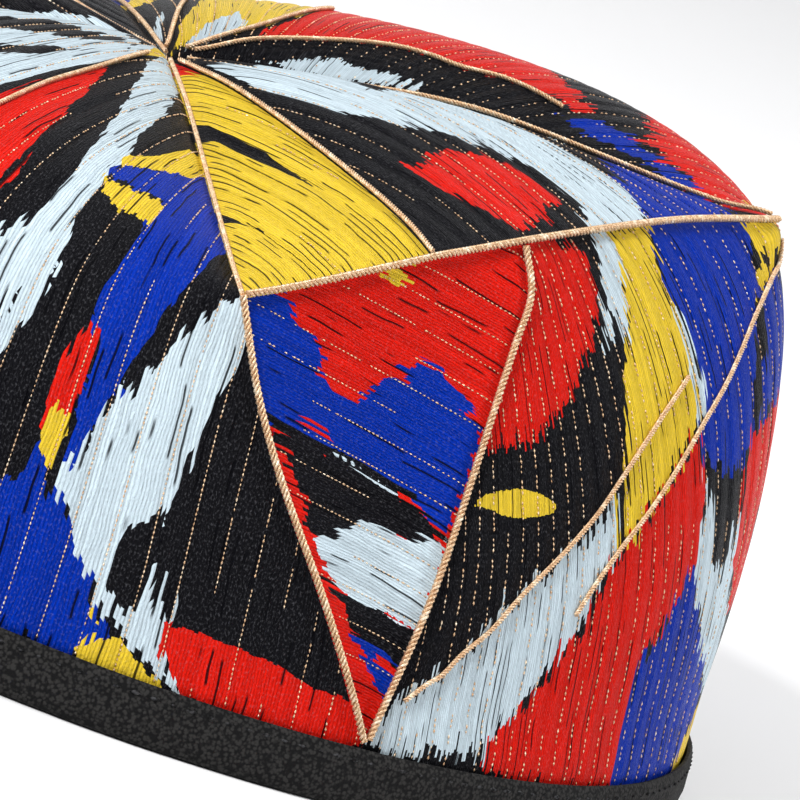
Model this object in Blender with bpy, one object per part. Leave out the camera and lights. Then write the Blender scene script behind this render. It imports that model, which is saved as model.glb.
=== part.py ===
"""A soft, hollow, embroidered skullcap with a four-cornered crown that has slumped to one side.

Metres, +Z up. The origin is the middle of the rim's underside, and -Y is the side that is seen.
The cloth is one surface that is solved from its seam lines, then cut into the pieces of cloth it is sewn from.
"""

import bpy
import numpy as np

MM = 0.001

# Driving sizes, in millimetres.
RIM_RADIUS = 90.0  # outside of the binding, at its top edge
CROWN_HEIGHT = 72.0  # height of the crown's highest corner over the binding
BAND_HEIGHT = 8.0  # height of the black binding
BAND_BULGE = 0.6  # how far the binding stands out at its lower half
LEG = 1.0  # thickness of each leg of the binding
SOLE = 1.5  # thickness of the binding under the cloth
CLOTH = 1.8  # thickness of the quilted cloth
GAP = 0.3  # space between two pieces
CORD_RADIUS = 0.6  # gold cord laid over a seam
CORD_SIDES = 6
BAND_SEGMENTS = 72

# Sizes that follow from those above.
TUCK = BAND_HEIGHT - SOLE - GAP  # how deep the cloth goes into the binding
EDGE_RADIUS = RIM_RADIUS - LEG - GAP  # outside of the cloth where it goes into the binding
CORD_LIFT = CORD_RADIUS + 1.8 * GAP  # height of a cord's centre line over the cloth
FAN_CROWD = 0.13  # share of the rim's radius round the apex where the narrow pieces keep a wider gap

# How finely the cloth is divided: rings from the apex to the edge, rows from the edge to the rim.
RINGS = 10
ROWS = 10
COLUMNS = {"corner_to_ridge": 4, "ridge_to_pleat": 3, "pleat_to_corner": 10, "shoulder": 17}
STIFFNESS = 0.02  # how strongly the smoothed cloth is held to its first shape

# Every point below is three shares: x and y of the rim's radius, and z of the crown's height over the binding.
# The front set is the side that is seen, and the rear set is its turned counterpart.
APEX = (-0.156, 0.0, 0.875)
MIDDLE = (-0.056, 0.0, 0.208)  # a point well inside the cap, which tells inside from outside
POINTS = {
    "front": {
        "corner_a": (0.078, -0.889, 0.680),
        "ridge": (0.317, -0.639, 0.824),
        "pleat_top": (0.433, -0.494, 0.883),
        "corner_b": (0.817, 0.111, 1.000),
    },
    "rear": {
        "corner_a": (-0.333, 0.856, 0.792),
        "ridge": (-0.544, 0.667, 0.819),
        "pleat_top": (-0.667, 0.467, 0.812),
        "corner_b": (-0.844, -0.133, 0.708),
    },
}
FOOT_DEG = {"front": -61.2, "rear": 118.8}  # where each half's two wall seams meet at the binding

# Points that each seam passes between its two named ends.
SEAMS = {
    "front": {
        "corner_seam": [(-0.10, -0.222, 0.840), (-0.028, -0.478, 0.771), (0.044, -0.767, 0.708)],
        "ridge_line": [(-0.05, -0.144, 0.892), (0.089, -0.322, 0.881), (0.244, -0.533, 0.854)],
        "crown_line": [(0.039, 0.022, 0.922), (0.189, 0.040, 0.967), (0.356, 0.059, 0.994), (0.689, 0.098, 0.990)],
        "edge_near": [(0.139, -0.830, 0.714), (0.222, -0.744, 0.765)],
        "edge_mid": [],
        "edge_far": [(0.544, -0.333, 0.931), (0.667, -0.133, 0.972)],
        "front_seam": [(0.151, -0.902, 0.524), (0.230, -0.911, 0.393), (0.333, -0.900, 0.242), (0.417, -0.887, 0.107)],
        "pleat_seam": [(0.467, -0.522, 0.812), (0.473, -0.589, 0.681), (0.481, -0.678, 0.500), (0.487, -0.783, 0.264)],
    },
    "rear": {
        "corner_seam": [(-0.189, 0.122, 0.879), (-0.222, 0.244, 0.881), (-0.278, 0.500, 0.861)],
        "ridge_line": [(-0.300, 0.144, 0.875), (-0.422, 0.367, 0.868)],
        "crown_line": [(-0.389, -0.033, 0.840), (-0.622, -0.078, 0.785)],
        "edge_near": [(-0.422, 0.789, 0.811)],
        "edge_mid": [],
        "edge_far": [(-0.767, 0.222, 0.778), (-0.822, 0.022, 0.736)],
        "front_seam": [(-0.367, 0.889, 0.556), (-0.411, 0.900, 0.278)],
        "pleat_seam": [(-0.644, 0.600, 0.556), (-0.578, 0.733, 0.278)],
    },
}

# Where the side wall turns over into the dome, from the far corner round to the other half's near corner.
SHOULDER = {
    "front": [(0.811, 0.344, 1.042), (0.611, 0.622, 1.000), (0.178, 0.822, 0.903)],
    "rear": [(-0.711, -0.500, 0.681), (-0.422, -0.778, 0.674), (-0.156, -0.889, 0.674)],
}

# How far each piece of cloth puffs out (or is pushed in) between its seams, as a share of the crown's height.
PUFF = {"crown_wedge": 0.014, "crown_panel": 0.028, "dome": 0.070, "wall": 0.047, "pleat": -0.042}

# Colour, roughness and metallic value of each kind of piece.
FINISHES = {
    "gore": ((0.030, 0.065, 0.360), 0.50, 0.0),
    "crown_wedge": ((0.760, 0.520, 0.060), 0.45, 0.0),
    "crown_panel": ((0.030, 0.030, 0.034), 0.50, 0.0),
    "pleat": ((0.700, 0.040, 0.020), 0.50, 0.0),
    "band": ((0.014, 0.014, 0.016), 0.90, 0.0),
    "cord": ((0.640, 0.400, 0.160), 0.40, 0.6),
}

OTHER = {"front": "rear", "rear": "front"}


def placed(shares):
    """Points given as shares, in millimetres, with z counted from the top edge of the binding."""
    return np.array(shares, float) * (RIM_RADIUS, RIM_RADIUS, CROWN_HEIGHT)


def foot(half):
    """The point where a half's two wall seams run into the binding, in millimetres."""
    angle = np.radians(FOOT_DEG[half])
    return np.array([EDGE_RADIUS * np.cos(angle), EDGE_RADIUS * np.sin(angle), 0.0])


def resample(points, count):
    """A smooth curve through the given points, as count + 1 points that are evenly spaced along it."""
    points = np.array(points, float)
    if len(points) == 2:
        return points[0] + (points[1] - points[0]) * np.linspace(0, 1, count + 1)[:, None]
    ends = np.vstack([2 * points[0] - points[1], points, 2 * points[-1] - points[-2]])
    fine = []
    for index in range(1, len(ends) - 2):
        p0, p1, p2, p3 = ends[index - 1 : index + 3]
        t = np.linspace(0, 1, 24, endpoint=False)[:, None]
        fine.append(
            0.5 * (2 * p1 + (p2 - p0) * t + (2 * p0 - 5 * p1 + 4 * p2 - p3) * t**2 + (3 * p1 - 3 * p2 + p3 - p0) * t**3)
        )
    fine = np.vstack(fine + [points[-1:]])
    along = np.r_[0, np.cumsum(np.linalg.norm(np.diff(fine, axis=0), axis=1))]
    wanted = np.linspace(0, along[-1], count + 1)
    return np.stack([np.interp(wanted, along, fine[:, axis]) for axis in range(3)], -1)


def seam(half, name, start, end, count):
    """One named seam of a half, sampled from its first end to its second."""
    ends = {"apex": placed(APEX), "foot": foot(half), **{k: placed(v) for k, v in POINTS[half].items()}}
    return resample([ends[start], *(placed(point) for point in SEAMS[half][name]), ends[end]], count)


def half_curves(half):
    """Every boundary curve of a half, by name."""
    near, mid, far = (COLUMNS[k] for k in ("corner_to_ridge", "ridge_to_pleat", "pleat_to_corner"))
    other = OTHER[half]
    shoulder = placed([POINTS[half]["corner_b"], *SHOULDER[half], POINTS[other]["corner_a"]])
    return {
        "corner_seam": seam(half, "corner_seam", "apex", "corner_a", RINGS),
        "ridge_line": seam(half, "ridge_line", "apex", "ridge", RINGS),
        "crown_line": seam(half, "crown_line", "apex", "corner_b", RINGS),
        "edge_near": seam(half, "edge_near", "corner_a", "ridge", near),
        "edge_mid": seam(half, "edge_mid", "ridge", "pleat_top", mid),
        "edge_far": seam(half, "edge_far", "pleat_top", "corner_b", far),
        "front_seam": seam(half, "front_seam", "corner_a", "foot", ROWS),
        "pleat_seam": seam(half, "pleat_seam", "pleat_top", "foot", ROWS),
        "shoulder": resample(shoulder, COLUMNS["shoulder"]),
        "other_corner_seam": seam(other, "corner_seam", "apex", "corner_a", RINGS),
        "other_front_seam": seam(other, "front_seam", "corner_a", "foot", ROWS),
    }


def blend(top, bottom, left, right):
    """A patch of points stretched between four boundary curves: rows run from top to bottom."""
    rows, columns = len(left), len(top)
    v = np.linspace(0, 1, rows)[:, None, None]
    u = np.linspace(0, 1, columns)[None, :, None]
    across = (1 - v) * top[None] + v * bottom[None]
    down = (1 - u) * left[:, None] + u * right[:, None]
    corners = (1 - v) * ((1 - u) * top[0] + u * top[-1]) + v * ((1 - u) * bottom[0] + u * bottom[-1])
    return across + down - corners


def puffed(patch, share):
    """The patch pushed outward by a share of the crown's height that fades to nothing at its boundary."""
    normal = np.cross(np.gradient(patch, axis=1), np.gradient(patch, axis=0))
    length = np.linalg.norm(normal, axis=2, keepdims=True)
    normal = normal / np.maximum(length, 1e-9)
    outward = np.sign(np.sum(normal * (patch - placed(MIDDLE)), axis=2, keepdims=True))
    u = np.sin(np.pi * np.linspace(0, 1, patch.shape[1]))[None, :, None]
    v = np.sin(np.pi * np.linspace(0, 1, patch.shape[0]))[:, None, None]
    return patch + normal * outward * share * CROWN_HEIGHT * np.sqrt(np.maximum(u * v, 0))


def rim_arc(half):
    """The wall's lower edge, from this half's foot round to the other half's foot, in line with the columns above."""
    start = FOOT_DEG[half]
    corner = POINTS[half]["corner_b"]
    middle = np.degrees(np.arctan2(corner[1], corner[0])) - 3.0
    while middle < start:
        middle += 360.0
    first = np.linspace(start, middle, COLUMNS["pleat_to_corner"] + 1)
    second = np.linspace(middle, start + 180.0, COLUMNS["shoulder"] + 1)
    angles = np.radians(np.r_[first, second[1:]])
    return EDGE_RADIUS * np.stack([np.cos(angles), np.sin(angles), 0 * angles], -1)


def half_patches(half):
    """The patches of one half, each with the name of the piece of cloth that it belongs to."""
    curves = half_curves(half)
    pole = placed(APEX)
    crown_edge = np.vstack([curves["edge_mid"], curves["edge_far"][1:]])
    pleat_edge = np.vstack([curves["edge_near"], curves["edge_mid"][1:]])
    wall_top = np.vstack([curves["edge_far"], curves["shoulder"][1:]])

    def fan(left, right, bottom, point):
        return blend(np.repeat(point[None], len(bottom), 0), bottom, left, right)

    wedge = fan(curves["corner_seam"], curves["ridge_line"], curves["edge_near"], pole)
    panel = fan(curves["ridge_line"], curves["crown_line"], crown_edge, pole)
    dome = fan(curves["crown_line"], curves["other_corner_seam"], curves["shoulder"], pole)
    pleat = fan(curves["front_seam"][::-1], curves["pleat_seam"][::-1], pleat_edge, foot(half))[::-1]
    wall = blend(wall_top, rim_arc(half), curves["pleat_seam"], curves["other_front_seam"])
    tuck = np.stack([wall[-1], wall[-1] - np.array([0, 0, TUCK])])
    side = {"front": "right", "rear": "left"}[half]
    return [
        (f"crown_wedge_{half}", puffed(wedge, PUFF["crown_wedge"])),
        (f"crown_panel_{half}", puffed(panel, PUFF["crown_panel"])),
        (f"gore_{side}", puffed(dome, PUFF["dome"])),
        (f"pleat_{half}", puffed(pleat, PUFF["pleat"])),
        (f"gore_{side}", puffed(wall, PUFF["wall"])),
        (f"gore_{side}", tuck),
    ]


class ClothMesh:
    """All patches sewn into one mesh, with each face marked by its piece of cloth."""

    def __init__(self, most=4000):
        self.store, self.count = np.full((most, 3), 1e9), 0
        self.faces, self.pieces = [], []

    @property
    def points(self):
        return self.store[: self.count]

    def vertex(self, point):
        """The number of the vertex at a point, which is added if it is new."""
        apart = np.abs(self.points - point).max(1) if self.count else np.array([1e9])
        if apart.min() < 1e-3:
            return int(apart.argmin())
        self.store[self.count] = point
        self.count += 1
        return self.count - 1

    def add(self, piece, patch):
        ids = [[self.vertex(point) for point in row] for row in patch]
        for i in range(len(ids) - 1):
            for j in range(len(ids[0]) - 1):
                loop = [ids[i][j], ids[i + 1][j], ids[i + 1][j + 1], ids[i][j + 1]]
                ring = [v for k, v in enumerate(loop) if v != loop[k - 1]]
                if len(ring) >= 3:
                    self.faces.append(ring)
                    self.pieces.append(piece)

    def edge_users(self):
        """The faces on each edge."""
        users = {}
        for number, face in enumerate(self.faces):
            for a, b in zip(face, face[1:] + face[:1]):
                users.setdefault((min(a, b), max(a, b)), []).append(number)
        return users

    def held(self):
        """The vertices that smoothing leaves alone: those on a seam, the edge or the tuck."""
        kept = set()
        for (a, b), faces in self.edge_users().items():
            if len(faces) == 1 or self.pieces[faces[0]] != self.pieces[faces[1]]:
                kept |= {a, b}
        kept |= {k for k, p in enumerate(self.points) if p[2] <= 0.01}
        return kept

    def smooth(self):
        """Evens out the cloth between its seams, as a thin springy sheet that is drawn softly to its first shape."""
        count = self.count
        first = self.points.copy()
        spread = np.zeros((count, count))
        for a, b in self.edge_users():
            weight = 1.0 / max(np.linalg.norm(first[a] - first[b]), 0.5)
            spread[a, b] = spread[b, a] = weight
        spread = np.eye(count) - spread / spread.sum(1, keepdims=True)
        held = sorted(self.held())
        free = sorted(set(range(count)) - set(held))
        bend = spread[free]
        left = bend[:, free].T @ bend[:, free] + STIFFNESS * np.eye(len(free))
        right = STIFFNESS * first[free] - bend[:, free].T @ (bend[:, held] @ first[held])
        self.store[free] = np.linalg.solve(left, right)

    def normals(self):
        """One outward direction for each vertex, shared by every piece that meets there."""
        points = self.points
        total = np.zeros_like(points)
        for face in self.faces:
            corners = points[face]
            turn = sum(np.cross(corners[k] - corners[0], corners[k + 1] - corners[0]) for k in range(1, len(face) - 1))
            total[face] += turn / max(np.linalg.norm(turn), 1e-9)
        return total / np.linalg.norm(total, axis=1, keepdims=True)


def face_the_outside(mesh):
    """Turns every face so that it looks away from the middle of the cap."""
    points = mesh.points
    for number, face in enumerate(mesh.faces):
        corners = points[face]
        turn = sum(np.cross(corners[k] - corners[0], corners[k + 1] - corners[0]) for k in range(1, len(face) - 1))
        if turn @ (corners.mean(0) - placed(MIDDLE)) < 0:
            mesh.faces[number] = face[::-1]


def inset_shifts(mesh, faces, directions):
    """How far each boundary vertex of a piece moves inward in the cloth, so that the piece clears its neighbours."""
    points = mesh.points
    border = {}
    for face in faces:
        for a, b in zip(face, face[1:] + face[:1]):
            border[(a, b)] = face
    border = {edge: face for edge, face in border.items() if (edge[1], edge[0]) not in border}
    found = {}
    for (a, b), face in border.items():
        along = points[b] - points[a]
        turn = np.cross(points[face[1]] - points[face[0]], points[face[-1]] - points[face[0]])
        inward = np.cross(turn, along)
        inward /= np.linalg.norm(inward)
        found.setdefault(a, []).append(inward)
        found.setdefault(b, []).append(inward)
    shifts = {}
    for vertex, inwards in found.items():
        total = sum(inwards[:2])
        spread = 1.0 + float(inwards[0] @ inwards[1])
        crowded = np.linalg.norm(points[vertex] - placed(APEX)) < FAN_CROWD * RIM_RADIUS
        move = 0.5 * GAP * (2.6 if crowded else 1.6) * total / max(spread, 0.03)
        move -= directions[vertex] * (move @ directions[vertex])
        shifts[vertex] = move
    return border, shifts


def thick_piece(mesh, name, directions):
    """The outer points, inner points and closed faces of one piece of cloth, in millimetres."""
    faces = [face for face, piece in zip(mesh.faces, mesh.pieces) if piece == name]
    border, shifts = inset_shifts(mesh, faces, directions)
    used = sorted({v for face in faces for v in face})
    number = {v: k for k, v in enumerate(used)}
    outer = np.array([mesh.points[v] + shifts.get(v, np.zeros(3)) for v in used])
    inner = outer - CLOTH * np.array([directions[v] for v in used])
    shell = [[number[v] for v in face] for face in faces]
    back = [[number[v] + len(used) for v in face[::-1]] for face in faces]
    rim = [[number[b], number[a], number[a] + len(used), number[b] + len(used)] for a, b in border]
    return np.vstack([outer, inner]), shell + back + rim


def tube(line, directions, first_cut, last_cut):
    """A closed round cord over a line of points, stopping a number of its own radii short of each end."""
    start_cut, end_cut = first_cut * CORD_RADIUS, last_cut * CORD_RADIUS
    along = np.r_[0, np.cumsum(np.linalg.norm(np.diff(line, axis=0), axis=1))]
    wanted = np.unique(np.clip(np.r_[start_cut, along, along[-1] - end_cut], start_cut, along[-1] - end_cut))
    wanted = wanted[np.r_[True, np.diff(wanted) > CORD_RADIUS]]
    raised = line + CORD_LIFT * directions
    centre = np.stack([np.interp(wanted, along, raised[:, k]) for k in range(3)], -1)
    up = np.stack([np.interp(wanted, along, directions[:, k]) for k in range(3)], -1)
    ahead = np.gradient(centre, axis=0)
    ahead /= np.linalg.norm(ahead, axis=1, keepdims=True)
    side = np.cross(ahead, up)
    side /= np.linalg.norm(side, axis=1, keepdims=True)
    up = np.cross(side, ahead)
    turns = 2 * np.pi * np.arange(CORD_SIDES) / CORD_SIDES
    rings = centre[:, None] + CORD_RADIUS * (
        np.cos(turns)[None, :, None] * side[:, None] + np.sin(turns)[None, :, None] * up[:, None]
    )
    faces = [list(range(CORD_SIDES)), list(range((len(rings) - 1) * CORD_SIDES, len(rings) * CORD_SIDES))[::-1]]
    for i in range(len(rings) - 1):
        for k in range(CORD_SIDES):
            low, high = i * CORD_SIDES, (i + 1) * CORD_SIDES
            faces.append([low + k, high + k, high + (k + 1) % CORD_SIDES, low + (k + 1) % CORD_SIDES])
    return rings.reshape(-1, 3), faces


def band_points():
    """The binding: a folded strip that grips the cloth's lower edge between two legs."""
    out, top, low = RIM_RADIUS, 0.0, -BAND_HEIGHT
    inner = out - 2 * LEG - 3 * GAP - CLOTH
    profile = [
        (out - 0.35, top),
        (out, top - 0.5),
        (out + BAND_BULGE, 0.6 * low),
        (out + 0.1, low),
        (inner - 0.1, low),
        (inner - 0.3, 0.6 * low),
        (inner, top - 0.5),
        (inner + 0.35, top),
        (inner + LEG, top),
        (inner + LEG, low + SOLE),
        (out - LEG + 0.1, low + SOLE),
        (out - LEG + 0.1, top),
    ]
    points, faces, size = [], [], len(profile)
    for step in range(BAND_SEGMENTS):
        angle = 2 * np.pi * step / BAND_SEGMENTS
        points += [(r * np.cos(angle), r * np.sin(angle), z) for r, z in profile]
        following = (step + 1) % BAND_SEGMENTS
        for k in range(size):
            after = (k + 1) % size
            faces.append([step * size + after, following * size + after, following * size + k, step * size + k])
    return np.array(points), faces


def finish(name):
    """A piece's own material, in the colour and finish of its kind."""
    kind = next((kind for kind in FINISHES if kind in name), "cord")
    if "cord" in name:
        kind = "cord"
    (red, green, blue), roughness, metallic = FINISHES[kind]
    colour = (red, green, blue, 1.0)
    material = bpy.data.materials.new(name)
    material.use_nodes = True
    shader = material.node_tree.nodes["Principled BSDF"]
    shader.inputs["Base Color"].default_value = colour
    shader.inputs["Roughness"].default_value = roughness
    shader.inputs["Metallic"].default_value = metallic
    material.diffuse_color = colour
    return material


def solid(name, points, faces, smooth_degrees=35.0):
    """One named object from a closed body, given in millimetres from the binding's top edge."""
    mesh = bpy.data.meshes.new(name)
    mesh.from_pydata([tuple(point) for point in (np.array(points) + (0, 0, BAND_HEIGHT)) * MM], [], faces)
    mesh.materials.append(finish(name))
    mesh.update()
    mesh.shade_smooth()
    mesh.set_sharp_from_angle(angle=np.radians(smooth_degrees))
    made = bpy.data.objects.new(name, mesh)
    bpy.context.scene.collection.objects.link(made)
    return made


def build_cords(half, mesh, directions):
    """The five gold cords of one half."""
    curves = half_curves(half)

    def cord(name, line, first_cut, last_cut):
        upward = np.array([directions[mesh.vertex(point)] for point in line])
        solid(f"{name}_cord_{half}", *tube(line, upward, first_cut, last_cut))

    cord("seam", np.vstack([curves["corner_seam"], curves["front_seam"][1:]]), 6.0, 2.5)
    cord("edge", np.vstack([curves["edge_near"], curves["edge_mid"][1:], curves["edge_far"][1:]]), 3.5, 3.5)
    cord("pleat", curves["pleat_seam"], 4.0, 6.5)
    cord("ridge", curves["ridge_line"], 15.0, 4.0)
    cord("crown", curves["crown_line"], 8.5, 4.0)


def build():
    """Builds every piece of the cap."""
    for old in list(bpy.data.objects):
        bpy.data.objects.remove(old)
    mesh = ClothMesh()
    for half in POINTS:
        for piece, patch in half_patches(half):
            mesh.add(piece, patch)
    mesh.smooth()
    face_the_outside(mesh)
    directions = mesh.normals()
    for piece in dict.fromkeys(mesh.pieces):
        solid(piece, *thick_piece(mesh, piece, directions))
    solid("band", *band_points())
    for half in POINTS:
        build_cords(half, mesh, directions)


build()
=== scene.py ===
"""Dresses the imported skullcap: satin-stitched cloth, gold cords, running stitches and a crepe binding.

Metres, +Z up. The cap's forms are worked out in millimetres from the binding's top edge, as in the part's own source,
and are moved to the shared frame when a mesh is made.
"""

from __future__ import annotations

import logging
import math
from collections.abc import Sequence
from dataclasses import dataclass, field
from enum import Enum

import bpy
import numpy as np
from mathutils import Matrix, Vector, noise
from mathutils.kdtree import KDTree

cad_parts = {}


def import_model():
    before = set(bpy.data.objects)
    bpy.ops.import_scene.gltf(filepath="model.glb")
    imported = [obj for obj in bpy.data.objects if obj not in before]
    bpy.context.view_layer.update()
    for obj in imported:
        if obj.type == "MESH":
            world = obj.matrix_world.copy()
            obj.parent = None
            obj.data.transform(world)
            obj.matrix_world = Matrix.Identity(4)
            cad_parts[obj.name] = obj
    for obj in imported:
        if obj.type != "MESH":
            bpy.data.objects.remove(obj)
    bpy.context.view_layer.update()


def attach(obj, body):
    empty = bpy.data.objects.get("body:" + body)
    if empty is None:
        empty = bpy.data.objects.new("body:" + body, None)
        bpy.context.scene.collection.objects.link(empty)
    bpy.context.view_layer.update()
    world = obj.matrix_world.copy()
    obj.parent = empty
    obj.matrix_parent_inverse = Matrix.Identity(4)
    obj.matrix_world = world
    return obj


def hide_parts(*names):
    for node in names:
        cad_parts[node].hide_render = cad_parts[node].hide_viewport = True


LOG = logging.getLogger("skullcap")
MM = 0.001
Pixels = list[tuple[float, float]]
Shapes = list[tuple]  # each a dye, its outline and, for some, how ragged it is
Socket = bpy.types.NodeSocket


class Half(Enum):
    """The two halves of the cap, which are turned counterparts."""

    FRONT = "front"
    REAR = "rear"

    @property
    def other(self) -> "Half":
        """The half on the far side."""
        return Half.REAR if self is Half.FRONT else Half.FRONT

    @property
    def gore(self) -> str:
        """The name of the side piece that starts at this half's pleat."""
        return "gore_right" if self is Half.FRONT else "gore_left"


class Dye(Enum):
    """The thread colours, with the order of their fields."""

    RED = 0
    BLUE = 1
    YELLOW = 2
    PALE = 3
    BLACK = 4


# Form of the cap


@dataclass(frozen=True)
class CapSizes:
    """Driving sizes of the cap, in millimetres."""

    rim_radius: float = 90.0
    crown_height: float = 72.0
    band_height: float = 8.0
    band_bulge: float = 0.6
    leg: float = 1.0
    sole: float = 1.5
    cloth: float = 1.8
    gap: float = 0.3
    rings: int = 10
    rows: int = 10
    near: int = 4
    mid: int = 3
    far: int = 10
    shoulder: int = 17
    stiffness: float = 0.02

    @property
    def edge_radius(self) -> float:
        """Outside of the cloth where it goes into the binding."""
        return self.rim_radius - self.leg - self.gap

    @property
    def tuck(self) -> float:
        """How deep the cloth goes into the binding."""
        return self.band_height - self.sole - self.gap


SIZES = CapSizes()

APEX = (-0.156, 0.0, 0.875)
MIDDLE = (-0.056, 0.0, 0.208)
CORNERS = {
    Half.FRONT: {
        "corner_a": (0.078, -0.889, 0.680),
        "ridge": (0.317, -0.639, 0.824),
        "pleat_top": (0.433, -0.494, 0.883),
        "corner_b": (0.817, 0.111, 1.000),
    },
    Half.REAR: {
        "corner_a": (-0.333, 0.856, 0.792),
        "ridge": (-0.544, 0.667, 0.819),
        "pleat_top": (-0.667, 0.467, 0.812),
        "corner_b": (-0.844, -0.133, 0.708),
    },
}
FOOT_DEG = {Half.FRONT: -61.2, Half.REAR: 118.8}
SEAMS = {
    Half.FRONT: {
        "corner_seam": [(-0.10, -0.222, 0.840), (-0.028, -0.478, 0.771), (0.044, -0.767, 0.708)],
        "ridge_line": [(-0.05, -0.144, 0.892), (0.089, -0.322, 0.881), (0.244, -0.533, 0.854)],
        "crown_line": [(0.039, 0.022, 0.922), (0.189, 0.040, 0.967), (0.356, 0.059, 0.994), (0.689, 0.098, 0.990)],
        "edge_near": [(0.139, -0.830, 0.714), (0.222, -0.744, 0.765)],
        "edge_mid": [],
        "edge_far": [(0.544, -0.333, 0.931), (0.667, -0.133, 0.972)],
        "front_seam": [
            (0.151, -0.902, 0.524), (0.230, -0.911, 0.393), (0.333, -0.900, 0.242), (0.417, -0.887, 0.107),
        ],
        "pleat_seam": [
            (0.467, -0.522, 0.812), (0.473, -0.589, 0.681), (0.481, -0.678, 0.500), (0.487, -0.783, 0.264),
        ],
    },
    Half.REAR: {
        "corner_seam": [(-0.189, 0.122, 0.879), (-0.222, 0.244, 0.881), (-0.278, 0.500, 0.861)],
        "ridge_line": [(-0.300, 0.144, 0.875), (-0.422, 0.367, 0.868)],
        "crown_line": [(-0.389, -0.033, 0.840), (-0.622, -0.078, 0.785)],
        "edge_near": [(-0.422, 0.789, 0.811)],
        "edge_mid": [],
        "edge_far": [(-0.767, 0.222, 0.778), (-0.822, 0.022, 0.736)],
        "front_seam": [(-0.367, 0.889, 0.556), (-0.411, 0.900, 0.278)],
        "pleat_seam": [(-0.644, 0.600, 0.556), (-0.578, 0.733, 0.278)],
    },
}
SHOULDER = {
    Half.FRONT: [(0.811, 0.344, 1.042), (0.611, 0.622, 1.000), (0.178, 0.822, 0.903)],
    Half.REAR: [(-0.711, -0.500, 0.681), (-0.422, -0.778, 0.674), (-0.156, -0.889, 0.674)],
}
PUFF = {"wedge": 0.014, "panel": 0.028, "dome": 0.070, "wall": 0.047, "pleat": -0.042}


def placed(shares: Sequence) -> np.ndarray:
    """Points given as shares of the rim's radius and the crown's height, in millimetres."""
    return np.array(shares, float) * (SIZES.rim_radius, SIZES.rim_radius, SIZES.crown_height)


def to_frame(points: np.ndarray) -> np.ndarray:
    """Points in millimetres from the binding's top edge, in metres in the shared frame."""
    return (np.asarray(points, float) + (0.0, 0.0, SIZES.band_height)) * MM


def unit(vectors: np.ndarray) -> np.ndarray:
    """Vectors brought to length one."""
    return vectors / np.maximum(np.linalg.norm(vectors, axis=-1, keepdims=True), 1e-9)


def spline(p0: np.ndarray, p1: np.ndarray, p2: np.ndarray, p3: np.ndarray, t: np.ndarray) -> np.ndarray:
    """A smooth curve from p1 to p2, shaped by the points beside them.

    Args:
        p0: Points before the span.
        p1: Points where the span starts.
        p2: Points where it ends.
        p3: Points after it.
        t: Shares of the span, shaped to spread over the points.

    Returns:
        The points at those shares.
    """
    return 0.5 * (
        2 * p1 + (p2 - p0) * t + (2 * p0 - 5 * p1 + 4 * p2 - p3) * t**2 + (3 * p1 - 3 * p2 + p3 - p0) * t**3
    )


def resample(points: Sequence, count: int) -> np.ndarray:
    """A smooth curve through points, as evenly spaced points.

    Args:
        points: The points that the curve passes.
        count: How many spans to return.

    Returns:
        count + 1 points.
    """
    points = np.array(points, float)
    if len(points) == 2:
        return points[0] + (points[1] - points[0]) * np.linspace(0, 1, count + 1)[:, None]
    ends = np.vstack([2 * points[0] - points[1], points, 2 * points[-1] - points[-2]])
    t = np.linspace(0, 1, 24, endpoint=False)[:, None]
    fine = np.vstack([spline(*ends[k - 1 : k + 3], t) for k in range(1, len(ends) - 2)] + [points[-1:]])
    along = np.r_[0, np.cumsum(np.linalg.norm(np.diff(fine, axis=0), axis=1))]
    wanted = np.linspace(0, along[-1], count + 1)
    return np.stack([np.interp(wanted, along, fine[:, axis]) for axis in range(3)], -1)


def refined(
    grid: np.ndarray, steps: int, before: np.ndarray | None = None, after: np.ndarray | None = None
) -> np.ndarray:
    """Divides the rows of a grid more finely along a smooth curve.

    Args:
        grid: Values in rows and columns.
        steps: How many new spans take the place of one.
        before: The row before the first, where the surface goes on.
        after: The row after the last, where the surface goes on.

    Returns:
        The grid with its spans divided.
    """
    first = 2 * grid[0] - grid[1] if before is None else before
    last = 2 * grid[-1] - grid[-2] if after is None else after
    rows = np.concatenate([first[None], grid, last[None]])[:, None]
    t = (np.arange(steps) / steps)[None, :, None, None]
    fine = spline(rows[:-3], rows[1:-2], rows[2:-1], rows[3:], t)
    return np.concatenate([fine.reshape((-1,) + grid.shape[1:]), grid[-1:]])


def refined_both(grid: np.ndarray, rows: int, columns: int, **ends: np.ndarray) -> np.ndarray:
    """Divides both the rows and the columns of a grid more finely."""
    fine = refined(grid, rows, **ends)
    return refined(fine.swapaxes(0, 1), columns).swapaxes(0, 1)


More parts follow.
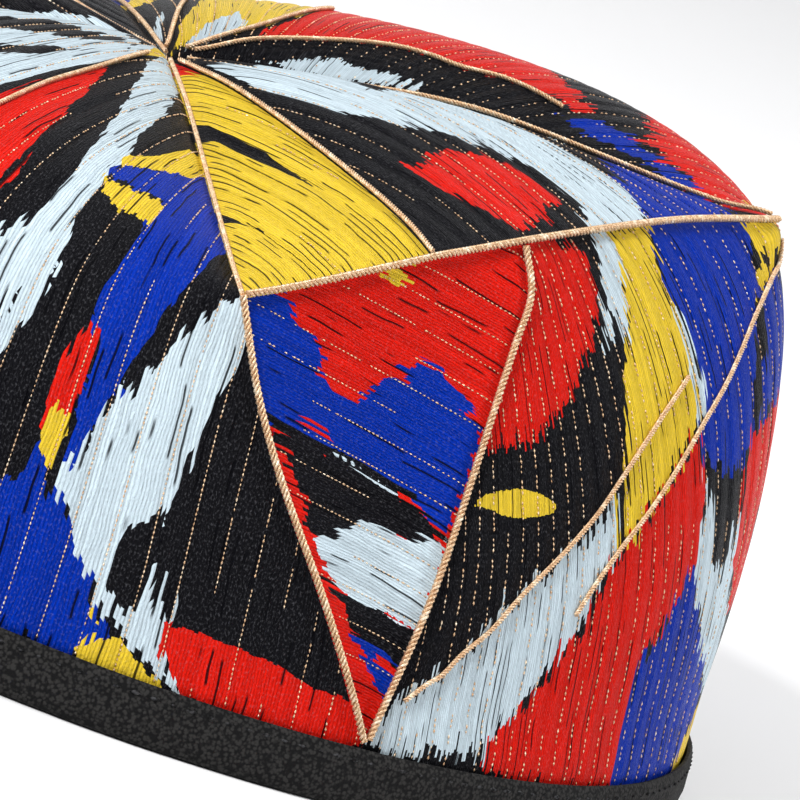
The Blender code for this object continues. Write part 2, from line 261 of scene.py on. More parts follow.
class ClothNet:
    """The coarse net of cloth that the part's solids are cut from, solved from its seams."""

    def __init__(self) -> None:
        """Lays out every patch, then evens the cloth out."""
        self.store = np.full((4000, 3), 1e9)
        self.count = 0
        self.faces: list[list[int]] = []
        self.pieces: list[str] = []
        self.grids: dict[tuple[Half, str], np.ndarray] = {}
        for half in Half:
            for kind, piece, patch in self.patches(half):
                self.grids[(half, kind)] = self.add(piece, patch)
        self.smooth()
        self.directions = self.normals()

    @property
    def points(self) -> np.ndarray:
        """The vertices in use."""
        return self.store[: self.count]

    @staticmethod
    def foot(half: Half) -> np.ndarray:
        """The point where a half's two wall seams run into the binding."""
        angle = math.radians(FOOT_DEG[half])
        return np.array([SIZES.edge_radius * math.cos(angle), SIZES.edge_radius * math.sin(angle), 0.0])

    def seam(self, half: Half, name: str, start: str, end: str, count: int) -> np.ndarray:
        """One named seam of a half, from its first end to its second."""
        ends = {"apex": placed(APEX), "foot": self.foot(half), **{k: placed(v) for k, v in CORNERS[half].items()}}
        return resample([ends[start], *(placed(point) for point in SEAMS[half][name]), ends[end]], count)

    @staticmethod
    def blend(top: np.ndarray, bottom: np.ndarray, left: np.ndarray, right: np.ndarray) -> np.ndarray:
        """A patch of points stretched between four boundary curves.

        Args:
            top: Its first row.
            bottom: Its last row.
            left: Its first column.
            right: Its last column.

        Returns:
            The patch, in rows and columns.
        """
        v = np.linspace(0, 1, len(left))[:, None, None]
        u = np.linspace(0, 1, len(top))[None, :, None]
        across = (1 - v) * top[None] + v * bottom[None]
        down = (1 - u) * left[:, None] + u * right[:, None]
        corners = (1 - v) * ((1 - u) * top[0] + u * top[-1]) + v * ((1 - u) * bottom[0] + u * bottom[-1])
        return across + down - corners

    @staticmethod
    def puffed(patch: np.ndarray, share: float) -> np.ndarray:
        """The patch pushed outward by a share of the crown's height, fading at its boundary.

        Args:
            patch: The patch.
            share: The share at its middle.

        Returns:
            The pushed patch.
        """
        normal = unit(np.cross(np.gradient(patch, axis=1), np.gradient(patch, axis=0)))
        outward = np.sign(np.sum(normal * (patch - placed(MIDDLE)), axis=2, keepdims=True))
        u = np.sin(np.pi * np.linspace(0, 1, patch.shape[1]))[None, :, None]
        v = np.sin(np.pi * np.linspace(0, 1, patch.shape[0]))[:, None, None]
        return patch + normal * outward * share * SIZES.crown_height * np.sqrt(np.maximum(u * v, 0))

    def rim_arc(self, half: Half) -> np.ndarray:
        """The wall's lower edge, from this half's foot round to the other half's.

        Args:
            half: Which half.

        Returns:
            The edge's points.
        """
        start = FOOT_DEG[half]
        corner = CORNERS[half]["corner_b"]
        middle = math.degrees(math.atan2(corner[1], corner[0])) - 3.0
        middle += 360.0 if middle < start else 0.0
        first = np.linspace(start, middle, SIZES.far + 1)
        second = np.linspace(middle, start + 180.0, SIZES.shoulder + 1)
        angles = np.radians(np.r_[first, second[1:]])
        return SIZES.edge_radius * np.stack([np.cos(angles), np.sin(angles), 0 * angles], -1)

    def patches(self, half: Half) -> list[tuple[str, str, np.ndarray]]:
        """The patches of one half.

        Args:
            half: Which half.

        Returns:
            The kind of each patch, the piece of cloth that it belongs to, and its points.
        """
        s, other, pole, foot = SIZES, half.other, placed(APEX), self.foot(half)
        corner = self.seam(half, "corner_seam", "apex", "corner_a", s.rings)
        ridge = self.seam(half, "ridge_line", "apex", "ridge", s.rings)
        crown = self.seam(half, "crown_line", "apex", "corner_b", s.rings)
        near = self.seam(half, "edge_near", "corner_a", "ridge", s.near)
        mid = self.seam(half, "edge_mid", "ridge", "pleat_top", s.mid)
        far = self.seam(half, "edge_far", "pleat_top", "corner_b", s.far)
        front = self.seam(half, "front_seam", "corner_a", "foot", s.rows)
        fold = self.seam(half, "pleat_seam", "pleat_top", "foot", s.rows)
        bend = placed([CORNERS[half]["corner_b"], *SHOULDER[half], CORNERS[other]["corner_a"]])
        bend = resample(bend, s.shoulder)
        far_corner = self.seam(other, "corner_seam", "apex", "corner_a", s.rings)
        far_front = self.seam(other, "front_seam", "corner_a", "foot", s.rows)

        def fan(left: np.ndarray, right: np.ndarray, bottom: np.ndarray, point: np.ndarray) -> np.ndarray:
            """A patch whose first row closes to a point."""
            return self.blend(np.repeat(point[None], len(bottom), 0), bottom, left, right)

        panel = fan(ridge, crown, np.vstack([mid, far[1:]]), pole)
        pleat = fan(front[::-1], fold[::-1], np.vstack([near, mid[1:]]), foot)[::-1]
        wall = self.blend(np.vstack([far, bend[1:]]), self.rim_arc(half), fold, far_front)
        tuck = np.stack([wall[-1], wall[-1] - np.array([0, 0, s.tuck])])
        return [
            ("wedge", f"crown_wedge_{half.value}", self.puffed(fan(corner, ridge, near, pole), PUFF["wedge"])),
            ("panel", f"crown_panel_{half.value}", self.puffed(panel, PUFF["panel"])),
            ("dome", half.gore, self.puffed(fan(crown, far_corner, bend, pole), PUFF["dome"])),
            ("pleat", f"pleat_{half.value}", self.puffed(pleat, PUFF["pleat"])),
            ("wall", half.gore, self.puffed(wall, PUFF["wall"])),
            ("tuck", half.gore, tuck),
        ]

    def vertex(self, point: np.ndarray) -> int:
        """The number of the vertex at a point, which is added if it is new.

        Args:
            point: The point.

        Returns:
            The vertex's number.
        """
        apart = np.abs(self.points - point).max(1) if self.count else np.array([1e9])
        if apart.min() < 1e-3:
            return int(apart.argmin())
        self.store[self.count] = point
        self.count += 1
        return self.count - 1

    def add(self, piece: str, patch: np.ndarray) -> np.ndarray:
        """Sews a patch on.

        Args:
            piece: The piece of cloth that it belongs to.
            patch: Its points.

        Returns:
            The vertex numbers, in the patch's rows and columns.
        """
        ids = np.array([[self.vertex(point) for point in row] for row in patch])
        for i in range(len(ids) - 1):
            for j in range(len(ids[0]) - 1):
                loop = [int(ids[i][j]), int(ids[i + 1][j]), int(ids[i + 1][j + 1]), int(ids[i][j + 1])]
                ring = [v for k, v in enumerate(loop) if v != loop[k - 1]]
                if len(ring) >= 3:
                    self.faces.append(ring)
                    self.pieces.append(piece)
        return ids

    def smooth(self) -> None:
        """Evens out the cloth between its seams, as a thin springy sheet drawn softly to its first shape."""
        users: dict[tuple[int, int], list[int]] = {}
        for number, face in enumerate(self.faces):
            for a, b in zip(face, face[1:] + face[:1]):
                users.setdefault((min(a, b), max(a, b)), []).append(number)
        first = self.points.copy()
        spread = np.zeros((self.count, self.count))
        held = {k for k, p in enumerate(self.points) if p[2] <= 0.01}
        for (a, b), faces in users.items():
            spread[a, b] = spread[b, a] = 1.0 / max(np.linalg.norm(first[a] - first[b]), 0.5)
            if len(faces) == 1 or self.pieces[faces[0]] != self.pieces[faces[1]]:
                held |= {a, b}
        spread = np.eye(self.count) - spread / spread.sum(1, keepdims=True)
        fixed = sorted(held)
        free = sorted(set(range(self.count)) - held)
        bend = spread[free]
        left = bend[:, free].T @ bend[:, free] + SIZES.stiffness * np.eye(len(free))
        right = SIZES.stiffness * first[free] - bend[:, free].T @ (bend[:, fixed] @ first[fixed])
        self.store[free] = np.linalg.solve(left, right)

    def normals(self) -> np.ndarray:
        """One outward direction for each vertex, shared by every piece that meets there.

        Returns:
            The directions, in the order of the vertices.
        """
        points, total = self.points, np.zeros((self.count, 3))
        for face in self.faces:
            corners = points[face]
            rays = corners[1:] - corners[0]
            turn = sum(np.cross(rays[k], rays[k + 1]) for k in range(len(rays) - 1))
            outward = 1.0 if turn @ (corners.mean(0) - placed(MIDDLE)) > 0 else -1.0
            total[face] += outward * turn / max(np.linalg.norm(turn), 1e-9)
        return unit(total)


# The photograph's view


@dataclass(frozen=True)
class PhotoView:
    """The camera that took the photograph, in the shared frame and an image 800 pixels wide and high."""

    elevation: float = 9.19
    roll: float = 21.64
    distance: float = 0.8346
    height: float = 0.048
    centre: tuple[float, float] = (202.0, 246.9)
    focal: float = 6000.0
    image: float = 800.0
    sensor: float = 36.0

    def axes(self) -> tuple[np.ndarray, np.ndarray, np.ndarray, np.ndarray]:
        """The camera's place, its view direction, and the image's right and up directions.

        Returns:
            The four vectors, in that order.
        """
        tilt, roll = math.radians(self.elevation), math.radians(self.roll)
        back = np.array([0.0, -math.cos(tilt), math.sin(tilt)])
        side = np.array([1.0, 0.0, 0.0])
        up = np.cross(side, -back)
        right = math.cos(roll) * side + math.sin(roll) * up
        over = math.cos(roll) * up - math.sin(roll) * side
        return np.array([0.0, 0.0, self.height]) + back * self.distance, -back, right, over

    def pixels(self, points: np.ndarray) -> np.ndarray:
        """Where points of the shared frame fall in the image.

        Args:
            points: The points, in metres.

        Returns:
            Their pixels, across and down.
        """
        place, ahead, right, over = self.axes()
        rays = points - place
        depth = rays @ ahead
        across = self.centre[0] + self.focal * (rays @ right) / depth
        down = self.centre[1] - self.focal * (rays @ over) / depth
        return np.stack([across, down], -1)

    def faces(self, points: np.ndarray, normals: np.ndarray) -> np.ndarray:
        """Which points have their outer side towards the camera."""
        rays = unit(points - self.axes()[0])
        return np.sum(rays * normals, axis=-1) < -0.04

    def build(self) -> bpy.types.Object:
        """Makes the camera, aimed at the middle of the image so that it needs no shift.

        Returns:
            The camera.
        """
        place, ahead, right, over = self.axes()
        middle = self.image / 2
        aim = unit(
            ahead
            + (middle - self.centre[0]) / self.focal * right
            - (middle - self.centre[1]) / self.focal * over
        )
        up = unit(over - (over @ aim) * aim)
        data = bpy.data.cameras.new("photo_camera")
        data.sensor_width = self.sensor
        data.lens = self.focal * self.sensor / self.image
        data.clip_end = 20.0
        camera = bpy.data.objects.new("photo_camera", data)
        turn = Matrix((np.cross(aim, up), up, -aim)).transposed().to_4x4()
        camera.matrix_world = Matrix.Translation(Vector(place)) @ turn
        bpy.context.scene.collection.objects.link(camera)
        bpy.context.scene.camera = camera
        return camera


VIEW = PhotoView()


# Node work


class NodeBench:
    """Short ways to add and join nodes in one tree."""

    def __init__(self, tree: bpy.types.NodeTree) -> None:
        """Starts on a tree."""
        self.tree = tree

    def put(self, socket: Socket, value: object) -> None:
        """Joins an output to a socket, or sets the socket's own value.

        Args:
            socket: The socket.
            value: An output, or a plain value.
        """
        if isinstance(value, Socket):
            self.tree.links.new(value, socket)
        else:
            socket.default_value = value

    def add(self, kind: str, inputs: dict | None = None, **settings: object) -> bpy.types.Node:
        """Adds a node.

        Args:
            kind: The node's type.
            inputs: Values or outputs for its inputs, by name or number.
            settings: The node's own settings.

        Returns:
            The node.
        """
        node = self.tree.nodes.new(kind)
        for name, value in settings.items():
            setattr(node, name, value)
        for name, value in (inputs or {}).items():
            self.put(node.inputs[name], value)
        return node

    def math(self, operation: str, *values: object, clamp: bool = False) -> Socket:
        """The result of one step of arithmetic."""
        return self.add("ShaderNodeMath", dict(enumerate(values)), operation=operation, use_clamp=clamp).outputs[0]

    def step(self, value: object, low: float, high: float) -> Socket:
        """A value brought to 0 at low and 1 at high, smoothly.

        Args:
            value: The value.
            low: Where the result is 0.
            high: Where it is 1.

        Returns:
            The result's socket.
        """
        node = self.add(
            "ShaderNodeMapRange",
            {"Value": value, "From Min": low, "From Max": high},
            interpolation_type="SMOOTHSTEP",
        )
        return node.outputs["Result"]

    def vector(self, x: object, y: object, z: object = 0.0) -> Socket:
        """A vector of three values."""
        return self.add("ShaderNodeCombineXYZ", {"X": x, "Y": y, "Z": z}).outputs[0]

    def noise(
        self, place: object, scale: float = 1.0, detail: float = 2.0, rough: float = 0.5
    ) -> Socket:
        """Smooth noise from 0 to 1."""
        node = self.add("ShaderNodeTexNoise", {"Vector": place, "Scale": scale, "Detail": detail, "Roughness": rough})
        return node.outputs["Fac"]

    def grain(
        self,
        across: object,
        along: object,
        stretch: tuple[float, float],
        seed: float = 0.0,
        detail: float = 2.0,
        rough: float = 0.5,
    ) -> Socket:
        """Noise on the thread map, at its own scale each way.

        Args:
            across: The distance across the threads.
            along: The distance along them.
            stretch: The noise's scale across and along.
            seed: Which noise it is.
            detail: How many finer layers it has.
            rough: How strong they are.

        Returns:
            The noise, from 0 to 1.
        """
        place = self.vector(self.math("MULTIPLY", across, stretch[0]), self.math("MULTIPLY", along, stretch[1]), seed)
        return self.noise(place, 1.0, detail, rough)

    def swing(self, value: object, amount: float) -> Socket:
        """A value from 0 to 1, brought to half the amount on each side of zero."""
        return self.math("MULTIPLY", self.math("SUBTRACT", value, 0.5), amount)

    def bump(self, shader: bpy.types.Node, strength: float, distance: float, height: object) -> None:
        """Gives a shader fine relief from a height, distance metres deep."""
        node = self.add("ShaderNodeBump", {"Strength": strength, "Distance": distance, "Height": height})
        self.put(shader.inputs["Normal"], node.outputs[0])

    def dice(self, place: object) -> Socket:
        """A value from 0 to 1 that is the same for the same place."""
        return self.add("ShaderNodeTexWhiteNoise", {"Vector": place}).outputs["Value"]

    def mix(self, share: object, first: object, second: object, blend: str = "MIX") -> Socket:
        """Two colours mixed.

        Args:
            share: The second colour's share.
            first: The first colour.
            second: The second colour.
            blend: The way they are mixed.

        Returns:
            The mixed colour.
        """
        node = self.add("ShaderNodeMix", data_type="RGBA", blend_type=blend)
        self.put(node.inputs[0], share)
        self.put(node.inputs[6], first)
        self.put(node.inputs[7], second)
        return node.outputs[2]


def linear(red: int, green: int, blue: int) -> tuple[float, float, float, float]:
    """A colour from the usual 0 to 255 values, in the light's own scale."""
    parts = [part / 255.0 for part in (red, green, blue)]
    return tuple(p / 12.92 if p <= 0.04045 else ((p + 0.055) / 1.055) ** 2.4 for p in parts) + (1.0,)


class Finish:
    """A finish made of shader nodes."""

    def build(self, name: str) -> bpy.types.Material:
        """Makes the material.

        Args:
            name: The material's name.

        Returns:
            The material, with this finish's nodes.
        """
        made = bpy.data.materials.new(name)
        made.use_nodes = True
        self.dress(NodeBench(made.node_tree), made.node_tree.nodes["Principled BSDF"])
        return made

    def dress(self, b: NodeBench, shader: bpy.types.Node) -> None:
        """Adds the finish's own nodes.

        Args:
            b: The bench on the material's tree.
            shader: Its Principled shader.
        """
        raise NotImplementedError


@dataclass(frozen=True)
class SatinThread(Finish):
    """Satin stitch in dyed silky thread, which lies along the piece's own thread map.

    pitch is one thread's width and slit_space the space between two dark slits, both in millimetres. flame and
    ragged say how far a dye runs out along the threads, chance and drift how unevenly, and slits how much of
    the slits stays closed. relief is in metres. The threads are paled in flecks with painted glints toward a grey,
    and the slits are darkened with painted shadow.
    """

    colours: dict = field(
        default_factory=lambda: {
            Dye.RED: linear(228, 28, 14),
            Dye.BLUE: linear(0, 48, 170),
            Dye.YELLOW: linear(244, 208, 56),
            Dye.PALE: linear(214, 232, 242),
            Dye.BLACK: linear(17, 17, 21),
        }
    )
    painted_glint_grey: tuple = linear(168, 168, 176)
    shadow: tuple = linear(9, 9, 14)
    pitch: float = 0.36
    flame: float = 0.85
    ragged: float = 9.0
    even_reach: float = 0.22
    chance: float = 0.28
    drift: float = 1.7
    slit_space: float = 1.1
    slits: float = 0.54
    slit_shadow_share: float = 0.93
    fleck: float = 0.32
    relief: float = 0.00024
    roughness: float = 0.32
    specular: float = 0.03
    anisotropy: float = 0.35

    def colour(self, b: NodeBench, number: object, along: object) -> Socket:
        """The dye that each thread shows: the strongest field, each shifted by the thread's own chance.

        Args:
            b: The bench on the material's tree.
            number: The thread's number.
            along: The distance along it.

        Returns:
            The colour.
        """
        comb = b.math("MULTIPLY", b.math("ADD", number, 0.5), self.pitch * self.flame)
        fields = []
        for name in ("dye_a", "dye_b"):
            read = b.add("ShaderNodeAttribute", attribute_name=name).outputs[1]
            fields += list(b.add("ShaderNodeSeparateXYZ", {0: read}).outputs)
        reach = b.math("ADD", b.math("MULTIPLY", fields[-1], self.ragged), self.even_reach)
        best, colour = None, None
        for dye in (Dye.BLACK, Dye.RED, Dye.BLUE, Dye.YELLOW, Dye.PALE):
            own = b.swing(b.dice(b.vector(number, dye.value + 0.5, 1.0)), self.chance)
            wide = b.noise(b.vector(comb, dye.value * 7.3, b.math("MULTIPLY", along, 0.03)), 1.0, 2.0, 0.7)
            shift = b.math("MULTIPLY", b.math("ADD", own, b.swing(wide, self.drift)), reach)
            value = b.math("ADD", fields[dye.value], shift)
            if best is None:
                best, colour = value, self.colours[dye]
            else:
                wins = b.step(b.math("SUBTRACT", value, best), -0.05, 0.05)
                colour = b.mix(wins, colour, self.colours[dye])
                best = b.math("MAXIMUM", best, value)
        return colour

    def slit(self, b: NodeBench, across: object, along: object) -> Socket:
        """The slits between threads, where painted shadow darkens the colour.

        Args:
            b: The bench on the material's tree.
            across: The distance across the threads.
            along: The distance along them.

        Returns:
            1 in a slit and 0 beside it.
        """
        comb = b.math("DIVIDE", across, self.slit_space)
        nearest = b.math("ROUND", comb)
        gate = b.grain(nearest, along, (3.7, 0.075), 0.0, 1.0)
        edge = b.step(b.math("ABSOLUTE", b.math("SUBTRACT", comb, nearest)), 0.13, 0.05)
        return b.math("MULTIPLY", b.step(gate, self.slits, self.slits + 0.04), edge)

    def dress(self, b: NodeBench, shader: bpy.types.Node) -> None:
        """Adds the finish's own nodes.

        Args:
            b: The bench on the material's tree.
            shader: Its Principled shader.
        """
        parts = b.add("ShaderNodeSeparateXYZ", {0: b.add("ShaderNodeUVMap", uv_map="threads").outputs[0]})
        across, along = (b.math("MULTIPLY", parts.outputs[k], 1000.0) for k in (0, 1))
        across = b.math("ADD", across, b.swing(b.grain(across, along, (0.20, 0.07)), 1.3))
        count = b.math("DIVIDE", across, self.pitch)
        number = b.math("FLOOR", count)
        hump = b.math("SINE", b.math("MULTIPLY", b.math("SUBTRACT", count, number), math.pi))
        fibre = b.grain(across, along, (9.0, 0.55), 0.0, 3.0, 0.6)
        crinkle = b.grain(across, along, (4.6, 1.9), 3.0, 3.0, 0.65)
        colour, slit = self.colour(b, number, along), self.slit(b, across, along)

        # Each thread has its own tone and fibre streaks, painted shade towards its sides, and painted glints that
        # pale it in flecks.
        tone_and_side_shade = b.math("ADD", 0.80, b.math("MULTIPLY", b.dice(b.vector(number, 9.0, 3.0)), 0.20))
        tone_and_side_shade = b.math("ADD", tone_and_side_shade, b.swing(fibre, 0.55))
        # Painted shade: each thread darker towards its sides.
        tone_and_side_shade = b.math("MULTIPLY", tone_and_side_shade, b.math("ADD", 0.76, b.math("MULTIPLY", hump, 0.28)))
        shade = b.mix(1.0, colour, b.vector(tone_and_side_shade, tone_and_side_shade, tone_and_side_shade), "MULTIPLY")
        # Painted glints: flecks of the thread lightened toward a grey.
        fleck = b.math("MULTIPLY", b.step(crinkle, 0.50, 0.74), self.fleck)
        shade = b.mix(fleck, shade, b.mix(0.45, colour, self.painted_glint_grey))
        # Painted shadow darkens the slits between threads.
        b.put(shader.inputs["Base Color"], b.mix(b.math("MULTIPLY", slit, self.slit_shadow_share), shade, self.shadow))

        height = b.math("ADD", b.math("MULTIPLY", hump, 0.6), b.math("MULTIPLY", fibre, 0.9))
        height = b.math("ADD", height, b.math("MULTIPLY", crinkle, 1.5))
        height = b.math("SUBTRACT", height, b.math("MULTIPLY", slit, 1.6))
        b.bump(shader, 0.85, self.relief, height)
        glint = b.grain(across, along, (2.4, 0.9), 7.0)
        b.put(shader.inputs["Roughness"], b.math("ADD", self.roughness, b.swing(glint, 0.35)))
        tangent = b.add("ShaderNodeTangent", direction_type="UV_MAP", uv_map="threads")
        b.put(shader.inputs["Tangent"], tangent.outputs[0])
        shader.inputs["Specular IOR Level"].default_value = self.specular
        shader.inputs["Anisotropic"].default_value = self.anisotropy
        shader.inputs["Anisotropic Rotation"].default_value = 0.25


@dataclass(frozen=True)
class GoldMetalThread(Finish):
    """Twisted metallic thread: foil wound on a pale core, so flecks shine and gaps show beige, with near-white
    painted highlights in patches.
    """

    foil: tuple = linear(248, 218, 180)
    core: tuple = linear(196, 152, 112)
    metallic: float = 0.55

    def dress(self, b: NodeBench, shader: bpy.types.Node) -> None:
        """Adds the finish's own nodes.

        Args:
            b: The bench on the material's tree.
            shader: Its Principled shader.
        """
        place = b.add("ShaderNodeTexCoord").outputs["Object"]
        fleck = b.noise(place, 5200.0, 2.0, 0.7)
        drift = b.noise(place, 900.0, 2.0)
        colour = b.mix(b.step(fleck, 0.42, 0.62), self.core, self.foil)
        # Painted highlight: patches of the cord lightened toward near-white.
        colour = b.mix(b.step(drift, 0.50, 0.75), colour, linear(255, 240, 214))
        b.put(shader.inputs["Base Color"], colour)
        b.put(shader.inputs["Roughness"], b.math("ADD", 0.24, b.math("MULTIPLY", fleck, 0.30)))
        b.bump(shader, 0.6, 0.00008, fleck)
        shader.inputs["Metallic"].default_value = self.metallic


@dataclass(frozen=True)
class BlackCrepe(Finish):
    """Matte black crepe of the binding, with its pebbled face, lighter on the raised pebbles as painted highlight."""

    dark: tuple = linear(8, 8, 9)
    light: tuple = linear(44, 43, 42)

    def dress(self, b: NodeBench, shader: bpy.types.Node) -> None:
        """Adds the finish's own nodes.

        Args:
            b: The bench on the material's tree.
            shader: Its Principled shader.
        """
        place = b.add("ShaderNodeTexCoord").outputs["Object"]
        pebble = b.add("ShaderNodeTexVoronoi", {"Vector": place, "Scale": 1900.0}).outputs["Distance"]
        fuzz = b.noise(place, 3200.0, 3.0, 0.65)
        grain = b.math("ADD", b.math("MULTIPLY", pebble, 0.7), b.math("MULTIPLY", fuzz, 0.6))
        # Painted highlight: the raised pebbles are lighter, the hollows dark.
        b.put(shader.inputs["Base Color"], b.mix(b.step(grain, 0.46, 0.80), self.light, self.dark))
        b.bump(shader, 0.8, 0.00012, b.math("SUBTRACT", 1.0, grain))
        b.put(shader.inputs["Roughness"], b.math("ADD", 0.72, b.math("MULTIPLY", fuzz, 0.25)))
        shader.inputs["Specular IOR Level"].default_value = 0.2


@dataclass(frozen=True)
class PlainLining(Finish):
    """The plain woven cotton inside the cap."""

    ground: tuple = linear(38, 38, 44)
    raised: tuple = linear(66, 66, 74)
    thread: float = 0.45

    def dress(self, b: NodeBench, shader: bpy.types.Node) -> None:
        """Adds the finish's own nodes.

        Args:
            b: The bench on the material's tree.
            shader: Its Principled shader.
        """
        parts = b.add("ShaderNodeSeparateXYZ", {0: b.add("ShaderNodeUVMap", uv_map="threads").outputs[0]})
        turn = 1000.0 * math.pi / self.thread
        waves = [b.math("SINE", b.math("MULTIPLY", parts.outputs[k], turn)) for k in (0, 1)]
        weave = b.math("MULTIPLY", waves[0], waves[1])
        slub = b.noise(b.add("ShaderNodeTexCoord").outputs["Object"], 700.0, 3.0)
        lift = b.math("ADD", b.math("MULTIPLY", weave, 0.5), slub)
        b.put(shader.inputs["Base Color"], b.mix(b.step(lift, 0.1, 1.0), self.ground, self.raised))
        b.bump(shader, 0.6, 0.0001, lift)
        shader.inputs["Roughness"].default_value = 0.85


@dataclass(frozen=True)
class PaleCard(Finish):
    """The plain pale card that the cap stands on."""

    colour: tuple = linear(245, 245, 246)
    shadow: tuple = linear(232, 232, 234)

    def dress(self, b: NodeBench, shader: bpy.types.Node) -> None:
        """Adds the finish's own nodes.

        Args:
            b: The bench on the material's tree.
            shader: Its Principled shader.
        """
        mottle = b.noise(b.add("ShaderNodeTexCoord").outputs["Object"], 6.0, 2.0)
        shade = b.mix(b.math("MULTIPLY", mottle, 0.05), self.colour, self.shadow)
        b.put(shader.inputs["Base Color"], shade)
        shader.inputs["Roughness"].default_value = 0.8


# Where the threads run


class Lay(Enum):
    """How a piece's threads are laid."""

    FAN = "fan"
    ARCS = "arcs"
    PLANES = "planes"


@dataclass(frozen=True)
class ThreadLay:
    """The lay of a piece's threads on the half that is seen; the rear half's is turned about Z.

    place is the fan's pole or the arcs' centre in millimetres, or for planes the direction across the threads.
    """

    kind: Lay
    place: tuple[float, float, float]
    spread: float = 99.0
    facing: float = -144.5

    def across_along(self, points: np.ndarray, turned: bool) -> tuple[np.ndarray, np.ndarray]:
        """The distance across and along the threads at points.

        Args:
            points: Points in millimetres.
            turned: Whether the piece is on the turned half.

        Returns:
            Two arrays in millimetres; a fan's second is the distance from its pole.
        """
        flat = points * ((-1.0, -1.0, 1.0) if turned else (1.0, 1.0, 1.0))
        if self.kind is Lay.PLANES:
            across = unit(np.array(self.place))
            run = unit(np.array([across[1], -across[0], 0.0]))
            drop = unit(np.cross(across, run))
            return flat @ across, flat @ drop
        rays = flat[..., :2] - np.array(self.place[:2])
        reach = np.linalg.norm(rays, axis=-1)
        angle = np.arctan2(rays[..., 1], rays[..., 0]) - math.radians(self.facing)
        angle = (angle + math.pi) % (2 * math.pi) - math.pi
        if self.kind is Lay.ARCS:
            return reach, angle * self.spread
        return angle * self.spread, reach


LAYS = {
    "wedge": ThreadLay(Lay.ARCS, (-98.0, -150.0, 0.0), 170.0, 40.0),
    "panel": ThreadLay(Lay.ARCS, (-59.0, -140.0, 0.0), 147.0, 55.0),
    "pleat": ThreadLay(Lay.PLANES, (0.17, 0.10, 0.98)),
    "gore": ThreadLay(Lay.FAN, (7.6, 41.0, 0.0)),
}


@dataclass
class Sheet:
    """One finely divided patch of cloth, in rows and columns, in millimetres."""

    points: np.ndarray
    normals: np.ndarray
    pattern: np.ndarray
    across: np.ndarray
    along: np.ndarray
    fields: np.ndarray | None = None


class FineCloth:
    """Divides the coarse net finely, and works out the thread map and the pattern map."""

    ROW_STEPS = 8
    COLUMN_STEPS = {"wedge": 8, "panel": 8, "pleat": 8, "gore": 10}
    CELL = {"wedge": (8.6, 8.0), "panel": (8.6, 8.0), "pleat": (7.2, 8.0), "gore": (7.4, 10.3)}

    def __init__(self, net: ClothNet) -> None:
        """Divides every patch.

        Args:
            net: The coarse net.
        """
        self.net = net
        self.sheets: dict[tuple[Half, str], Sheet] = {}
        for half in Half:
            for kind in ("wedge", "panel", "pleat"):
                self.sheets[(half, kind)] = self.small(half, kind)
            self.gore(half)

    def values(self, half: Half, kind: str) -> np.ndarray:
        """A coarse patch's points and outward directions, side by side."""
        ids = self.net.grids[(half, kind)]
        return np.concatenate([self.net.points[ids], self.net.directions[ids]], axis=-1)

    def index_map(self, kind: str, rows: int, columns: int, first: tuple[float, float]) -> np.ndarray:
        """Each fine vertex's place in the pattern, in nominal millimetres.

        Args:
            kind: The kind of sheet.
            rows: How many rows it has.
            columns: How many columns.
            first: The row and column where it starts.

        Returns:
            The places, in rows and columns.
        """
        tall, wide = self.CELL[kind]
        i = np.arange(rows)[:, None] / self.ROW_STEPS + first[0]
        j = np.arange(columns)[None, :] / self.COLUMN_STEPS[kind] + first[1]
        return np.stack(np.broadcast_arrays(j * wide, i * tall), -1).astype(float)

    def small(self, half: Half, kind: str) -> Sheet:
        """Divides one of the small pieces.

        Args:
            half: Which half.
            kind: The kind of piece.

        Returns:
            Its fine sheet.
        """
        fine = refined_both(self.values(half, kind), self.ROW_STEPS, self.COLUMN_STEPS[kind])
        points, normals = fine[..., :3], unit(fine[..., 3:])
        across, along = LAYS[kind].across_along(points, half is Half.REAR)
        return Sheet(points, normals, self.index_map(kind, *points.shape[:2], (0.0, 0.0)), across, along)

    def gore(self, half: Half) -> None:
        """Divides a side piece's wall and dome, which turn over into each other with no seam.

        Args:
            half: The half that it belongs to.
        """
        wall, dome, tuck = (self.values(half, kind) for kind in ("wall", "dome", "tuck"))
        far, rows, columns = SIZES.far, self.ROW_STEPS, self.COLUMN_STEPS["gore"]
        above = 2 * wall[0] - wall[1]
        above[far:] = dome[-2]
        fine_wall = refined_both(wall, rows, columns, before=above, after=tuck[1])
        fine_dome = refined_both(dome, rows, columns, after=wall[1, far:])
        lift = fine_wall[0, far * columns :] - fine_dome[-1]
        fade = np.linspace(0, 1, 2 * rows + 1)[1:, None, None] ** 2
        fine_dome[-2 * rows :] += lift[None] * fade
        low = [fine_wall[-1:] + np.r_[0, 0, -SIZES.tuck * share, 0, 0, 0] for share in (0.33, 0.66, 1.0)]
        fine_wall = np.concatenate([fine_wall, *low])
        lay, turned = LAYS["gore"], half is Half.FRONT
        down = np.cumsum(np.linalg.norm(np.diff(fine_wall[..., :3], axis=0), axis=2), axis=0)
        down = np.concatenate([np.zeros((1, down.shape[1])), down])
        up = np.cumsum(np.linalg.norm(np.diff(fine_dome[::-1, :, :3], axis=0), axis=2), axis=0)[::-1]
        up = np.concatenate([up, np.zeros((1, up.shape[1]))])
        share = np.linspace(0, 1, fine_wall.shape[1])
        twist = 0.10 * np.clip((share - 0.7) / 0.2, 0, 1) - 0.24 * np.clip((0.5 - share) / 0.25, 0, 1)
        for kind, fine, along, corner, lean in (
            ("wall", fine_wall, -down, (0.0, 0.0), -twist * down**2 / (down + 18.0)),
            ("dome", fine_dome, up, (-float(SIZES.rings), float(far)), 0.0),
        ):
            points, normals = fine[..., :3], unit(fine[..., 3:])
            across = lay.across_along(points, turned)[0] + lean
            pattern = self.index_map("gore", *points.shape[:2], corner)
            self.sheets[(half, kind)] = Sheet(points, normals, pattern, across, along)


# The dyed pattern

